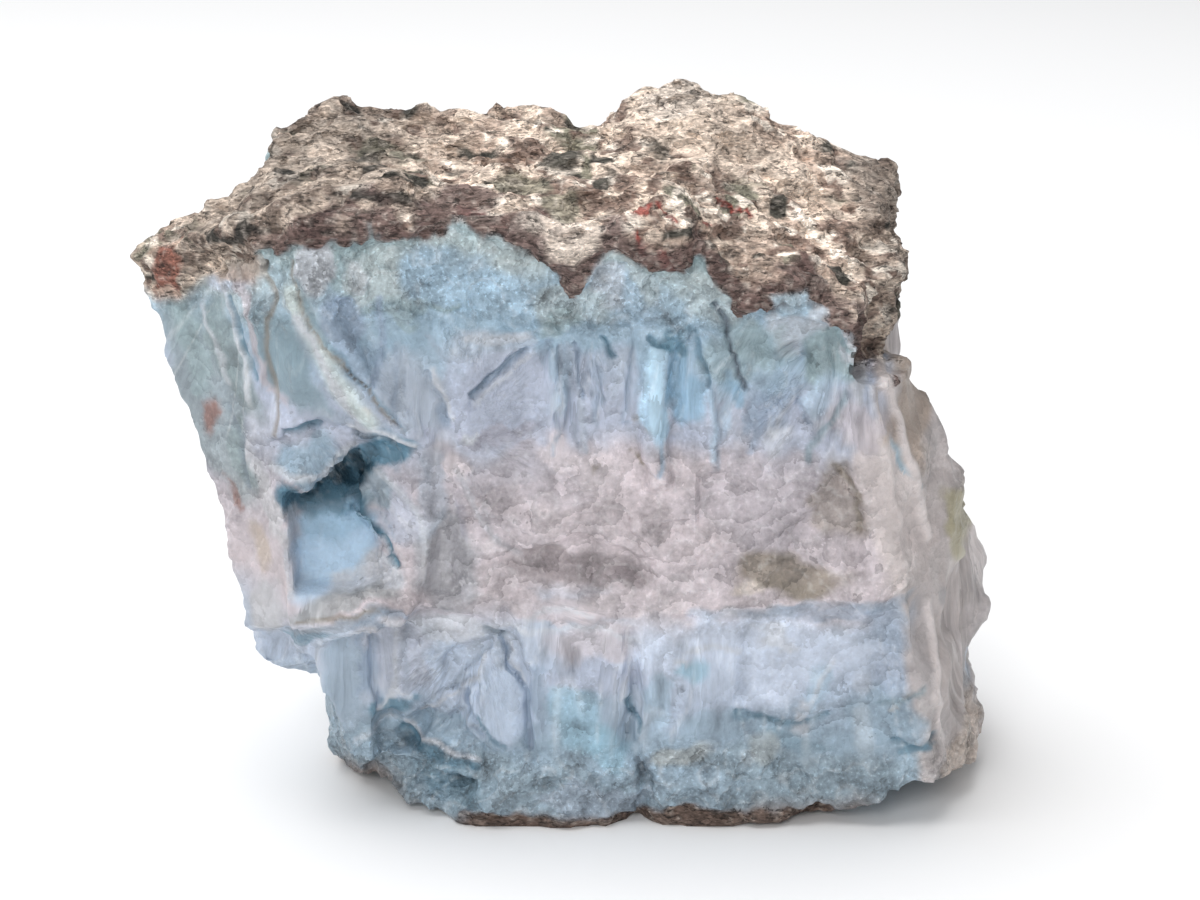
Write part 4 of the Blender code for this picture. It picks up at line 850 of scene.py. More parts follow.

# Seams, edges and lips drawn on the front face, in colour and in relief. The dark lines in creases
# and cracks and under ledges, lips and rims are painted shade, and the pale line on the lit lip of the
# ledge is a painted highlight: tone, half width, strength, drop (a lip is less than nothing), points in x,
# z
FRONT_LINES = {
    "white strip": ("strip white", 1.3, 1, -0.38,
        ((-27.7, 57.3), (-25.6, 53.2), (-24.0, 49.7), (-22.2, 46.8), (-20.1, 44.5))),
    "strip shade": ("teal shade", 0.46, 0.54, 0.38,
        ((-26.6, 56.9), (-24.6, 53.4), (-22.8, 50.5), (-21.0, 48.5), (-18.9, 46.4), (-17.0, 43.7))),
    "bright blade, light": ("blade light", 0.86, 0.72, -0.1,
        ((8.3, 51.8), (8.5, 48.2), (8.3, 44.0))),
    "vee, right light": ("frost", 0.4, 0.6, -0.25,
        ((-9.7, 46.6), (-7.0, 48.9), (-4.3, 51.1))),
    "fan edge, left light": ("pale lavender", 0.46, 0.6, -0.25,
        ((-16.7, 51.8), (-16.3, 47.1), (-15.5, 43.5))),
    "band of the upper fans": ("pale lavender", 0.57, 0.72, -0.31,
        ((-0.2, 51.8), (1.0, 47.1), (1.3, 41.4))),
    "nick in the sugar": ("sea green", 0.29, 0.84, 0.25,
        ((-13.8, 55.7), (-12.6, 55.4), (-11.5, 55.6))),
    "right blade light": ("pale sky", 0.46, 0.72, -0.31,
        ((13.9, 47.1), (14.3, 44.0), (14.0, 40.3))),
    "right fan light": ("frost", 0.4, 0.6, -0.25,
        ((19.8, 42.4), (21.2, 45.6), (22.6, 47.4))),
    "far fan light": ("frost", 0.4, 0.6, -0.25,
        ((24.0, 40.9), (25.5, 44.0), (26.9, 46.4))),
    "bevel seam": ("olive brown", 0.34, 0.72, 0.31,
        ((-30.5, 60.7), (-29.6, 56.9), (-30.6, 52.3), (-29.6, 47.1), (-30.2, 42.4))),
    "bevel flake": ("frost", 0.4, 0.72, -0.25,
        ((-35.3, 56.9), (-34.1, 53.8), (-33.3, 49.7), (-32.7, 45.6))),
    "bevel flake, low": ("frost", 0.4, 0.6, -0.25,
        ((-37.8, 54.8), (-36.4, 50.7), (-35.2, 47.1))),
    "bevel crack": ("teal shade", 0.34, 0.72, 0.38,
        ((-34.6, 55.8), (-33.4, 52.3), (-32.2, 48.2))),
    "bevel crack, low": ("grey shade", 0.34, 0.6, 0.38,
        ((-35.1, 44.5), (-33.9, 40.9), (-33.3, 36.1))),
    "white edge of the band": ("frost", 0.4, 0.6, -0.19,
        ((12.0, 19.9), (14.2, 20.5), (17.1, 19.6))),
    "facet edge, low": ("frost", 0.34, 0.6, -0.19,
        ((24.5, 13.8), (25.6, 16.3), (27.0, 18.3))),
    "lip, right low": ("sand", 0.34, 0.84, -0.19,
        ((33.1, 13.0), (34.1, 14.5), (35.0, 15.4), (36.4, 15.0))),
    "strip seam": ("olive brown", 0.23, 0.72, 0.25,
        ((-27.8, 60.5), (-26.7, 56.3), (-24.7, 52.5), (-22.8, 50.1), (-21.2, 48.8), (-19.4, 46.6),
         (-17.3, 43.6))),
    "strip, left edge": ("grey blue", 0.29, 0.42, 0.12,
        ((-28.3, 56.9), (-27.0, 53.3), (-25.0, 48.2), (-22.8, 44.0))),
    "strip, light": ("frost", 0.8, 0.9, -0.31,
        ((-26.9, 55.0), (-24.6, 50.5), (-22.7, 47.1), (-21.5, 44.5))),
    "ledge line": ("frost", 0.34, 0.96, -0.25,
        ((-22.7, 43.8), (-20.0, 43.4), (-18.2, 42.7), (-15.7, 42.2))),
    # Painted shade under the ledge line
    "under the ledge line": ("grey shade", 0.32, 0.72, 0.44,
        ((-22.4, 43.1), (-19.9, 42.7), (-18.2, 41.9))),
    # Painted shade in the crease right of the vee
    "vee, right": ("dusk shade blue", 0.4, 1, 0.5,
        ((-10.0, 47.3), (-7.2, 49.7), (-4.6, 51.9))),
    "vee, left": ("frost", 0.29, 0.84, -0.19,
        ((-13.9, 49.4), (-12.7, 46.6), (-11.9, 44.6))),
    "vee, left shade": ("grey blue", 0.34, 0.72, 0.38,
        ((-14.4, 49.1), (-13.3, 46.4), (-12.5, 44.5))),
    "dark shard": ("shade blue", 0.69, 0.72, 0.38,
        ((-13.3, 45.6), (-12.6, 44.1))),
    "crease over the vee": ("grey blue", 0.34, 0.48, 0.25,
        ((-14.6, 53.3), (-12.4, 50.5), (-11.0, 49.2))),
    "fan seam": ("shade blue", 0.46, 0.78, 0.38,
        ((-19.1, 56.9), (-19.2, 51.8), (-19.8, 48.5))),
    "fan seam, right": ("fan grey", 0.34, 0.6, 0.25,
        ((-17.6, 52.3), (-17.3, 47.6), (-16.8, 43.5))),
    "fan seam, left": ("shade blue", 0.34, 0.48, 0.25,
        ((-17.9, 51.8), (-17.7, 46.6), (-17.5, 43.3))),
    "blade line": ("grey blue", 0.32, 0.72, 0.38,
        ((-1.1, 52.3), (-1.2, 46.6), (-2.0, 40.9))),
    "blade line, second": ("shade blue", 0.34, 0.84, 0.44,
        ((0.2, 52.3), (0.7, 48.2), (1.3, 46.9))),
    "blade line, third": ("grey blue", 0.29, 0.6, 0.31,
        ((-0.6, 52.3), (-0.1, 45.6), (0.7, 40.9))),
    "blade line, fourth": ("grey blue", 0.34, 0.54, 0.31,
        ((1.5, 49.5), (2.3, 47.1), (3.0, 46.6))),
    "small crack": ("teal shade", 0.34, 0.9, 0.5,
        ((2.9, 53.2), (3.6, 52.0), (4.3, 51.1))),
    "blade line, fifth": ("shade blue", 0.34, 0.6, 0.31,
        ((6.1, 51.8), (5.4, 47.6), (4.9, 44.5), (5.7, 44.5))),
    "bright blade, right": ("sky deep", 0.34, 0.6, 0.19,
        ((10.2, 53.3), (9.8, 48.7), (9.1, 43.5), (8.7, 39.3))),
    "overhang": ("teal shade", 0.4, 0.96, 0.38,
        ((7.7, 53.1), (8.4, 52.5), (9.3, 52.1))),
    "hollow arch": ("teal shade", 0.46, 0.6, 0.38,
        ((10.4, 51.8), (10.6, 53.3), (11.2, 54.0), (12.2, 53.2), (12.8, 50.5), (13.6, 48.2))),
    "right of the hollow": ("grey blue", 0.34, 0.6, 0.25,
        ((14.4, 47.6), (14.7, 43.5), (14.4, 39.3))),
    "crack": ("grey shade", 0.3, 1, 0.5,
        ((14.2, 55.9), (15.0, 54.5), (15.7, 52.8), (16.3, 49.7), (17.2, 47.4))),
    "blue wedge edge": ("sky deep", 0.4, 0.6, 0.31,
        ((15.4, 49.5), (16.5, 47.1), (17.0, 45.8))),
    "fan line, right": ("shade blue", 0.46, 0.6, 0.31,
        ((22.1, 49.5), (21.6, 47.9), (19.9, 46.4), (18.5, 44.0), (17.6, 40.9))),
    "fan line, far right": ("teal mist", 0.46, 0.72, 0.38,
        ((27.1, 47.1), (25.2, 44.0), (23.6, 40.3))),
    "crack, right": ("shade blue", 0.34, 0.6, 0.38,
        ((22.5, 48.7), (22.8, 46.4), (23.3, 44.5), (23.9, 44.0))),
    "white line": ("frost", 0.4, 1, -0.25,
        ((26.6, 54.4), (28.1, 51.6), (29.6, 48.0))),
    "plate edge": ("pale plate", 0.63, 1, -0.44,
        ((30.8, 48.9), (33.0, 43.3), (35.2, 36.1), (36.6, 29.7))),
    "plate edge, low": ("pale plate", 0.57, 0.96, -0.38,
        ((37.0, 23.2), (37.8, 14.3), (38.5, 7.0))),
    "seam over the ledge": ("teal shade", 0.46, 0.84, 0.5,
        ((-28.7, 43.1), (-27.3, 43.1), (-25.7, 44.0))),
    # Painted highlight on the lit lip of the ledge
    "ledge lip": ("frost", 0.4, 0.84, -0.12,
        ((-30.7, 39.3), (-29.0, 38.9), (-27.1, 38.1), (-25.7, 38.9), (-23.9, 40.6), (-22.2, 41.6))),
    "panel crack": ("teal shade", 0.46, 1, 0.62,
        ((-24.0, 39.2), (-22.1, 35.6), (-19.3, 31.9), (-18.3, 28.7))),
    "panel step": ("sky deep", 0.34, 0.84, 0.38,
        ((-22.4, 35.3), (-23.1, 34.4), (-23.3, 32.9))),
    "panel light": ("frost", 0.34, 0.6, -0.12,
        ((-29.0, 34.5), (-29.1, 29.7), (-29.0, 25.9))),
    "sheet edge": ("frost", 0.46, 0.72, -0.12,
        ((-20.0, 38.4), (-17.5, 37.2), (-15.7, 34.5), (-15.0, 30.5))),
    "sheet crease": ("grey blue", 0.34, 0.48, 0.25,
        ((-20.7, 36.4), (-19.2, 34.0), (-17.8, 31.2))),
    "rim line": ("olive brown", 0.29, 0.72, 0.25,
        ((-28.1, 23.2), (-25.0, 23.4), (-21.9, 24.3), (-20.0, 24.7))),
    "left blade edge": ("shade blue", 0.46, 0.78, 0.5,
        ((-21.2, 19.9), (-21.1, 15.4), (-20.6, 11.8))),
    "left blade light": ("frost", 0.4, 0.72, -0.19,
        ((-18.9, 22.0), (-18.7, 17.7), (-18.6, 14.3))),
    "left blade, third": ("grey blue", 0.34, 0.48, 0.31,
        ((-17.7, 21.0), (-17.6, 16.5), (-17.8, 13.8))),
    "ray": ("grey blue", 0.34, 0.72, 0.38,
        ((-7.9, 20.7), (-10.3, 17.9), (-12.8, 14.5))),
    "ray, second": ("grey blue", 0.34, 0.66, 0.38,
        ((-10.0, 16.1), (-12.3, 14.8), (-15.1, 13.2))),
    "ray, light": ("frost", 0.34, 0.72, -0.19,
        ((-9.3, 18.3), (-9.9, 16.1), (-12.6, 13.6), (-16.0, 11.6))),
    "big blade, left": ("shade blue", 0.4, 0.84, 0.5,
        ((-11.1, 14.0), (-10.6, 11.5), (-9.9, 9.3))),
    "big blade, right": ("shade blue", 0.4, 0.96, 0.5,
        ((-7.2, 20.9), (-6.5, 17.3), (-5.3, 15.4), (-4.8, 11.8), (-4.6, 8.6))),
    "big blade, light": ("frost", 0.34, 0.6, -0.12,
        ((-6.8, 20.4), (-6.2, 17.9), (-5.0, 15.9))),
    "big blade, foot": ("teal shade", 0.4, 0.72, 0.38,
        ((-10.1, 11.8), (-8.8, 9.6), (-7.2, 8.5))),
    "facet lip": ("frost", 0.34, 0.96, -0.19,
        ((-17.9, 9.5), (-15.9, 8.6), (-13.0, 7.2), (-10.2, 6.7))),
    # Painted shade under the lip of the lit facet
    "under the lip": ("teal shade", 0.57, 0.84, 0.38,
        ((-18.1, 8.7), (-15.9, 7.7), (-13.0, 6.3), (-10.5, 5.9))),
    "blade tips": ("frost", 0.34, 0.72, -0.19,
        ((-20.5, 11.6), (-19.6, 13.2), (-18.7, 14.1), (-18.0, 13.3), (-17.3, 13.2))),
    "foot lip": ("frost", 0.34, 0.48, -0.12,
        ((-23.2, 8.5), (-21.1, 9.1), (-20.4, 10.0), (-19.0, 9.8))),
    "overhang, under the rim": ("grey shade", 0.57, 0.84, 0.38,
        ((-8.8, 21.4), (-7.9, 21.1), (-7.1, 20.9))),
    "arc in the pink": ("frost", 0.34, 0.66, -0.19,
        ((-4.9, 23.4), (-2.9, 24.0), (-0.9, 24.3), (2.0, 23.4))),
    "middle crack, light": ("frost", 0.34, 0.6, -0.12,
        ((5.6, 21.0), (5.8, 17.4), (5.2, 14.3))),
    "middle crack, foot": ("teal shade", 0.4, 0.84, 0.5,
        ((5.7, 14.3), (6.2, 12.3), (6.9, 10.7))),
    "pale seam": ("frost", 0.34, 0.48, -0.12,
        ((-11.9, 39.3), (-10.4, 36.1), (-9.0, 32.9), (-7.5, 31.3))),
    "grey seam": ("grey", 0.46, 0.6, 0.25,
        ((-9.0, 36.1), (-8.3, 31.8), (-5.4, 30.2))),
    "hollow shade": ("hollow shade pink", 0.57, 0.72, 0.38,
        ((-4.6, 30.4), (-1.4, 29.7), (2.7, 29.4), (6.8, 28.1))),
    "olive arch": ("olive brown", 0.4, 0.72, 0.38,
        ((26.6, 39.6), (28.2, 38.4), (28.8, 36.1), (28.7, 32.9))),
    "blue over the foot": ("teal shade", 0.4, 0.72, 0.38,
        ((16.7, 13.0), (19.3, 12.5), (23.5, 11.6), (26.6, 12.5))),
    "ledge, right low": ("teal mist", 0.46, 0.6, 0.38,
        ((31.7, 13.8), (34.3, 14.3), (36.3, 15.4))),
    "blade, right low": ("teal shade", 0.46, 0.72, 0.38,
        ((33.4, 9.6), (36.0, 8.9), (37.6, 9.6))),
    "band top": ("frost", 0.34, 0.6, -0.12,
        ((-7.6, 22.3), (-3.5, 21.8), (2.7, 22.3), (6.8, 21.0))),
    "shadow over the white": ("grey blue", 0.69, 0.6, 0.38,
        ((11.9, 24.0), (19.1, 24.0), (27.3, 24.7), (34.9, 25.3))),
}

# The lines wander, reach back to these depths, and are full up to a quarter of their half width
LINE_WAVES_X = ((1.6, 0.35, 57),)
LINE_WAVES_Z = ((1.6, 0.35, 58),)
LINE_REACH = (-11, -8)
LINE_FULL = 1.25


def lattice(points, size, seed, shift):
    """Repeatable random numbers for the lattice cell that each point is in, moved by shift cells."""
    cell = np.floor(points / size).astype(np.int64) + shift
    mixed = cell[:, 0] * 73856093 ^ cell[:, 1] * 19349663 ^ cell[:, 2] * 83492791 ^ seed * 2654435761
    numbers = []
    for turn in range(7):
        mixed = (mixed ^ (mixed >> 15)) * 2246822519 + turn & 0xFFFFFFFF
        numbers.append((mixed & 0xFFFFFF) / 0xFFFFFF)
    return cell, np.stack(numbers, axis=1)


def ripple(points, size, seed):
    """Soft waves between -1 and 1, about one hump for each size."""
    inside = points / size - np.floor(points / size)
    blend = inside * inside * (3 - 2 * inside)
    total = np.zeros(len(points))
    for corner in np.ndindex(2, 2, 2):
        _, numbers = lattice(points, size, seed, np.array(corner))
        share = np.prod(np.where(corner, blend, 1 - blend), axis=1)
        total += share * (2 * numbers[:, 0] - 1)
    return total


def fracture(points, size, seed):
    """Broken facets of about that size: each is tilted its own way, and they meet in ridges."""
    lowest = np.full(len(points), np.inf)
    for shift in np.ndindex(3, 3, 3):
        cell, numbers = lattice(points, size, seed, np.array(shift) - 1)
        away = (points - (cell + numbers[:, :3]) * size) / size
        facet = (away * (2 * numbers[:, 3:6] - 1)).sum(axis=1) * FACET_TILT
        facet += FACET_STEP * numbers[:, 6] + FACET_BOWL * (away * away).sum(axis=1)
        lowest = np.minimum(lowest, facet)
    return (lowest - FACET_MIDDLE) * size


def layer(noise, points, kind, seed):
    """One kind of roughness at its own size and strength."""
    size, strength = kind
    return strength * noise(points, size, seed)


def wandering(value, points, waves):
    """A value moved by soft waves, each with its size, strength and seed."""
    for size, strength, seed in waves:
        value = value + layer(ripple, points, (size, strength), seed)
    return value


def to_segment(x, z, start, end):
    """Distance of each point from a straight line between two points."""
    along = np.array(end, float) - start
    share = ((x - start[0]) * along[0] + (z - start[1]) * along[1]) / (along @ along)
    share = np.clip(share, 0, 1)
    return np.hypot(x - start[0] - share * along[0], z - start[1] - share * along[1])


def inside_share(x, z, outline, softness):
    """1 inside an outline, 0 outside it, and a slope across its edge."""
    distance = np.full(len(x), np.inf)
    within = np.zeros(len(x), bool)
    for start, end in zip(outline, outline[1:] + outline[:1]):
        distance = np.minimum(distance, to_segment(x, z, start, end))
        if start[1] != end[1]:
            crossing = start[0] + (z - start[1]) * (end[0] - start[0]) / (end[1] - start[1])
            within ^= ((start[1] > z) != (end[1] > z)) & (x < crossing)
    signed = np.where(within, distance, -distance)
    return smooth_step(0.5 + signed / (2 * softness), 0, 1)


def to_line(x, z, line):
    """Distance of each point from a line of straight pieces."""
    return np.min([to_segment(x, z, start, end) for start, end in zip(line, line[1:])], axis=0)


def front_depth(x, z):
    """How far the front face lies behind its plane."""
    flat = np.stack([x, np.zeros(len(x)), z], axis=1)
    x = x + layer(ripple, flat, EDGE_WANDER, 11)
    z = z + layer(ripple, flat, EDGE_WANDER, 12)
    depth = LEVEL_DEPTH + layer(ripple, flat, FRONT_SWELL, 1) + layer(fracture, flat, FRONT_CHIPS, 2)
    for first, right, up, softness, outline in FRONT_FACETS.values():
        share = inside_share(x, z, outline, softness)
        facet = first + right * (x - outline[0][0]) + up * (z - outline[0][1])
        depth = depth * (1 - share) + (facet + layer(ripple, flat, FACET_WAVES, 3)) * share
    for width, drop, line in CRACKS.values():
        depth += drop * np.clip(1 - to_line(x, z, line) / width, 0, 1)
    across = np.clip(1 - np.abs(x - NOTCH_MIDDLE) / NOTCH_HALF, 0, 1)
    depth += NOTCH_DEPTH * across * np.clip(1 - z / NOTCH_HEIGHT, 0, 1)
    lip = np.clip((z - np.interp(x, *zip(*CRUST_LINE))) / CRUST_LIP, 0, 1)
    depth = depth * (1 - lip) + layer(fracture, flat, CRUST_EDGE_CHIPS, 4) * lip
    return np.maximum(depth, -PROUD_OF_PLANE)


def crust_height(x, y):
    """Lumps, dents and blocky weathering of the crust above its flat wall."""
    flat = np.stack([x, y, np.zeros(len(x))], axis=1)
    height = layer(ripple, flat, CRUST_SWELL, 5) + layer(fracture, flat, CRUST_CHIPS, 6)
    for cx, cy, half_x, half_y, rise in CRUST_LUMPS:
        height += rise * np.exp(-(((x - cx) / half_x) ** 2) - ((y - cy) / half_y) ** 2)
    return height


def depth_behind(points, breaks, names):
    """Depth of each point behind the nearest of the named flat breaks."""
    depths = []
    for name in names:
        point, normal = breaks[name]
        unit = np.array(normal) / np.linalg.norm(normal)
        depths.append((np.array(point) - points) @ unit)
    return np.min(depths, axis=0)


def below_top(points):
    """Depth of each point below the flat top wall."""
    return depth_behind(points, MAIN_BREAKS, TOP_BREAKS)


def side_blocks(points):
    """Blocky breaks and shallow hollows of the ends, the back and the underside."""
    height = layer(fracture, points, SIDE_BLOCKS, 7) + layer(fracture, points, SIDE_CHIPS, 8)
    for centre, radius, push in DENTS:
        away = np.linalg.norm(points - centre, axis=1)
        height -= push * np.exp(-((away / radius) ** 2))
    return height


def relief(points, normals):
    """The points of the block moved onto the broken stone."""
    x, y, z = points.T
    front = np.clip(1 - (y - FRONT) / FRONT_REACH, 0, 1)
    top = np.clip(1 - below_top(points) / CRUST_REACH, 0, 1) * np.clip(normals[:, 2] * 2, 0, 1)
    # A side is what faces neither the front nor up, and it is smoother near the ground
    start, fall = SIDE_START
    side = np.clip(start - fall * np.maximum(-normals[:, 1], normals[:, 2]), 0, 1)
    side *= np.clip(z / ROUGH_ABOVE, LEAST_ROUGH, 1)
    moved = points + normals * (side_blocks(points) * side)[:, None]
    moved[:, 1] = np.maximum(moved[:, 1], FRONT) + front_depth(x, z) * front
    moved[:, 2] += crust_height(x, y) * top
    moved[:, 1] = np.minimum(moved[:, 1], BACK)
    return moved


def select_only(obj):
    """Deselects everything, then makes this object the selected, active one."""
    bpy.ops.object.select_all(action="DESELECT")
    obj.select_set(True)
    bpy.context.view_layer.objects.active = obj


def apply_modifier(obj, kind, **settings):
    """Adds one modifier with its settings and applies it."""
    select_only(obj)
    modifier = obj.modifiers.new(kind.lower(), kind)
    for name, value in settings.items():
        setattr(modifier, name, value)
    bpy.ops.object.modifier_apply(modifier=modifier.name)


def box_between(name, low, high):
    """A box between two corners, as an object of its own."""
    bpy.ops.object.select_all(action="DESELECT")
    bpy.ops.mesh.primitive_cube_add(size=1)
    box = bpy.context.object
    box.name = name
    box.location = [(a + b) / 2 * MM for a, b in zip(low, high)]
    box.scale = [(b - a) * MM for a, b in zip(low, high)]
    bpy.ops.object.transform_apply(location=True, rotation=False, scale=True)
    return box


def break_off(obj, breaks):
    """Cuts a shape back to each flat break and closes the cut."""
    select_only(obj)
    bpy.ops.object.mode_set(mode="EDIT")
    for point, normal in breaks.values():
        bpy.ops.mesh.select_all(action="SELECT")
        bpy.ops.mesh.bisect(
            plane_co=Vector(point) * MM, plane_no=Vector(normal), use_fill=True, clear_outer=True
        )
    bpy.ops.mesh.select_all(action="SELECT")
    bpy.ops.mesh.normals_make_consistent(inside=False)
    bpy.ops.object.mode_set(mode="OBJECT")


def join_or_cut(obj, other, operation):
    """Joins another shape to this one or cuts it away, and removes the other."""
    apply_modifier(obj, "BOOLEAN", operation=operation, object=other, solver="EXACT")
    bpy.data.objects.remove(other, do_unlink=True)


def round_off(obj, middle, radius, times):
    """Wears the points inside a ball smooth."""
    select_only(obj)
    points, _ = read_points(obj.data)
    bpy.context.tool_settings.mesh_select_mode = (True, False, False)
    bpy.ops.object.mode_set(mode="EDIT")
    bpy.ops.mesh.select_all(action="DESELECT")
    bpy.ops.object.mode_set(mode="OBJECT")
    obj.data.vertices.foreach_set("select", np.linalg.norm(points - middle, axis=1) < radius)
    bpy.ops.object.mode_set(mode="EDIT")
    bpy.ops.mesh.vertices_smooth(factor=0.5, repeat=times)
    bpy.ops.object.mode_set(mode="OBJECT")


def read_points(mesh):
    """Places of a mesh's points in millimetres, and the way the surface faces there."""
    places = np.empty(len(mesh.vertices) * 3)
    facing = np.empty(len(mesh.vertices) * 3)
    mesh.vertices.foreach_get("co", places)
    mesh.vertices.foreach_get("normal", facing)
    return places.reshape(-1, 3) / MM, facing.reshape(-1, 3)


def write_points(mesh, points):
    """Moves a mesh's points to these places in millimetres."""
    mesh.vertices.foreach_set("co", (points * MM).ravel())
    mesh.update()


def smooth_step(value, low, high):
    """0 below low, 1 above high and an even slope between them."""
    share = np.clip((value - low) / (high - low), 0, 1)
    return share * share * (3 - 2 * share)


def ledges(points, kind, step, slope, seed):
    """Broken ledges that overlap down a slope: their height, and 1 on the riser between two of them."""
    fall = points @ np.array(slope)
    height = (layer(fracture, points, kind, seed) + fall) / step
    riser = smooth_step(height - np.floor(height), *LEDGE_RISER)
    return step * (np.floor(height) + riser) - fall, 4 * riser * (1 - riser)


def fibre_way(points):
    """For each point the way its fibre runs, scaled so that fibres are evenly wide FAN_SPREAD away,
    the distance from its root, and a share that falls to nothing where two fans meet."""
    cell, numbers = lattice(points * (1, 1, 0), FAN_CELL, 21, np.array((0, 0, 0)))
    roots = (cell + ROOT_PART[0] + ROOT_PART[1] * numbers[:, :3]) * FAN_CELL
    roots[:, 2] = np.where(points[:, 2] > VEIN_MIDDLE, UPPER_WALL, LOWER_WALL)
    inside_cell = points[:, :2] / FAN_CELL - np.floor(points[:, :2] / FAN_CELL)
    inside = smooth_step((0.5 - np.abs(inside_cell - 0.5)).min(axis=1) * FAN_CELL, *CELL_BORDER)
    nearest = np.full(len(points), np.inf)
    second = nearest.copy()
    flat = points * (1, 0, 1)
    x = points[:, 0] + layer(ripple, flat, FAN_WANDER, 22)
    z = points[:, 2] + layer(ripple, flat, FAN_WANDER, 23)
    on_front = points[:, 1] < FRONT_ZONE
    for middle, root in FRONT_FANS:
        away = np.hypot(x - middle[0], (z - middle[1]) * FAN_TALL)
        closer = on_front & (away < nearest)
        second = np.where(closer, nearest, np.minimum(second, away))
        nearest = np.where(closer, away, nearest)
        roots[closer] = (root[0], FAN_ROOT_DEPTH, root[1])
    inside[on_front] = smooth_step((second - nearest)[on_front], *FAN_BORDER)
    way = points - roots
    distance = np.linalg.norm(way, axis=1)
    return way / distance[:, None] * FAN_SPREAD, distance, inside


def wall_share(points):
    """1 on the weathered wall rock, 0 on the vein, and the same for its remains at the foot alone."""
    x, y, z = points.T
    flat = points * (1, 0, 1)
    line = wandering(np.interp(x, *zip(*CRUST_LINE)), flat, CRUST_LINE_WAVES)
    front = smooth_step(z - line, *CRUST_LINE_BAND)
    depth = wandering(below_top(points), points, CRUST_DEPTH_WAVES)
    deep = 1 - smooth_step(depth, *CRUST_DEPTH_BAND)
    share = np.where(y < LINE_ZONE, front, deep)
    ragged = wandering(0, points, CRUST_END_WAVES)
    end = smooth_step(x + ragged, *CRUST_END_FROM) * smooth_step(z + ragged, *CRUST_END_ABOVE)
    share = np.maximum(share, end)
    foot = 1 - smooth_step(wandering(z, points, FOOT_CRUST_WAVES), *FOOT_CRUST_BAND)
    foot *= np.where(y < FOOT_ZONE, smooth_step(x + ragged, *FOOT_CRUST_FROM), 1)
    return np.maximum(share, foot), foot


def sugar_share(points):
    """How sugary the vein is, from 0 in the silky fans to 1 beside the walls."""
    height = points[:, 2] + wandering(0, points, SUGAR_WAVES)
    return np.maximum(smooth_step(height, *SUGAR_UPPER), 1 - smooth_step(height, *SUGAR_LOWER))


def massive_share(points):
    """1 in the middle of the vein, which is massive, and 0 where fibres show."""
    height = wandering(points[:, 2], points, LAYER_WAVES)
    share = smooth_step(height, *MASSIVE_LOW) * (1 - smooth_step(height, *MASSIVE_HIGH))
    on_left = 1 - smooth_step(wandering(points[:, 0], points, MASSIVE_LEFT_WAVES), *MASSIVE_LEFT)
    return share * (1 - on_left * (points[:, 1] < FRONT_ZONE))


def front_line_shares(points):
    """For each drawn line its tone, its share at each point and its drop."""
    flat = points * (1, 0, 1)
    u = wandering(points[:, 0], flat, LINE_WAVES_X)
    v = wandering(points[:, 2], flat, LINE_WAVES_Z)
    front = 1 - smooth_step(points[:, 1], *LINE_REACH)
    for tone, half_width, strength, drop, line in FRONT_LINES.values():
        share = smooth_step(LINE_FULL - to_line(u, v, line) / half_width, 0, 1)
        yield tone, share * strength * front, drop


def calm_share(points):
    """1 on the front faces that are smooth and nearly even."""
    flat = points * (1, 0, 1)
    u = wandering(points[:, 0], flat, PATCH_WAVES_X[:1])
    v = wandering(points[:, 2], flat, PATCH_WAVES_Z[:1])
    share = np.zeros(len(points))
    for cx, cz, half_x, half_z, even in CALM_FACES.values():
        away = np.hypot((u - cx) / half_x, (v - cz) / half_z)
        share = np.maximum(share, even * (1 - smooth_step(away, *CALM_EDGE)))
    return share * (points[:, 1] < CALM_ZONE)


def plate_share(points):
    """1 on the plate of pale vein that the right end is broken along."""
    depth = wandering(depth_behind(points, SIDE_BREAKS, PLATE_BREAKS), points, PLATE_WAVES)
    return (1 - smooth_step(depth, *PLATE_DEPTH)) * (points[:, 2] < PLATE_TOP)


def blend_tone(colour, tone, share):
    """Lays one mineral colour over the others by its share."""
    return colour * (1 - share[:, None]) + np.array(TONES[tone]) * share[:, None]


def vein_colour(points):
    """The colours of the vein at each point: its mineral colours, with the painted shade and painted
    highlight of the patches and lines laid over them.
    """
    x, y, z = points.T
    height = wandering(z, points, LAYER_WAVES)
    stops = np.array([stop for stop, _ in VEIN_LAYERS])
    tones = np.array([TONES[tone] for _, tone in VEIN_LAYERS])
    colour = np.stack([np.interp(height, stops, tones[:, i]) for i in range(3)], axis=1)
    flat = points * (1, 0, 1)
    u = wandering(x, flat, PATCH_WAVES_X)
    v = wandering(z, flat, PATCH_WAVES_Z)
    colour = blend_tone(colour, "plate grey", PLATE_STRENGTH * plate_share(points))
    # The view reaches further back past the right end than elsewhere
    front = 1 - smooth_step(y - PATCH_REACH_STEP * smooth_step(x, *PATCH_REACH_RIGHT), *PATCH_REACH)
    for tone, cx, cz, half_x, half_z, turn, strength in FRONT_PATCHES.values():
        turn_x = math.cos(math.radians(turn))
        turn_z = math.sin(math.radians(turn))
        along = ((u - cx) * turn_x + (v - cz) * turn_z) / half_x
        across = ((v - cz) * turn_x - (u - cx) * turn_z) / half_z
        share = strength * (1 - smooth_step(np.hypot(along, across), *PATCH_EDGE))
        colour = blend_tone(colour, tone, share * front)
    for tone, share, _ in front_line_shares(points):
        colour = blend_tone(colour, tone, share)
    return colour


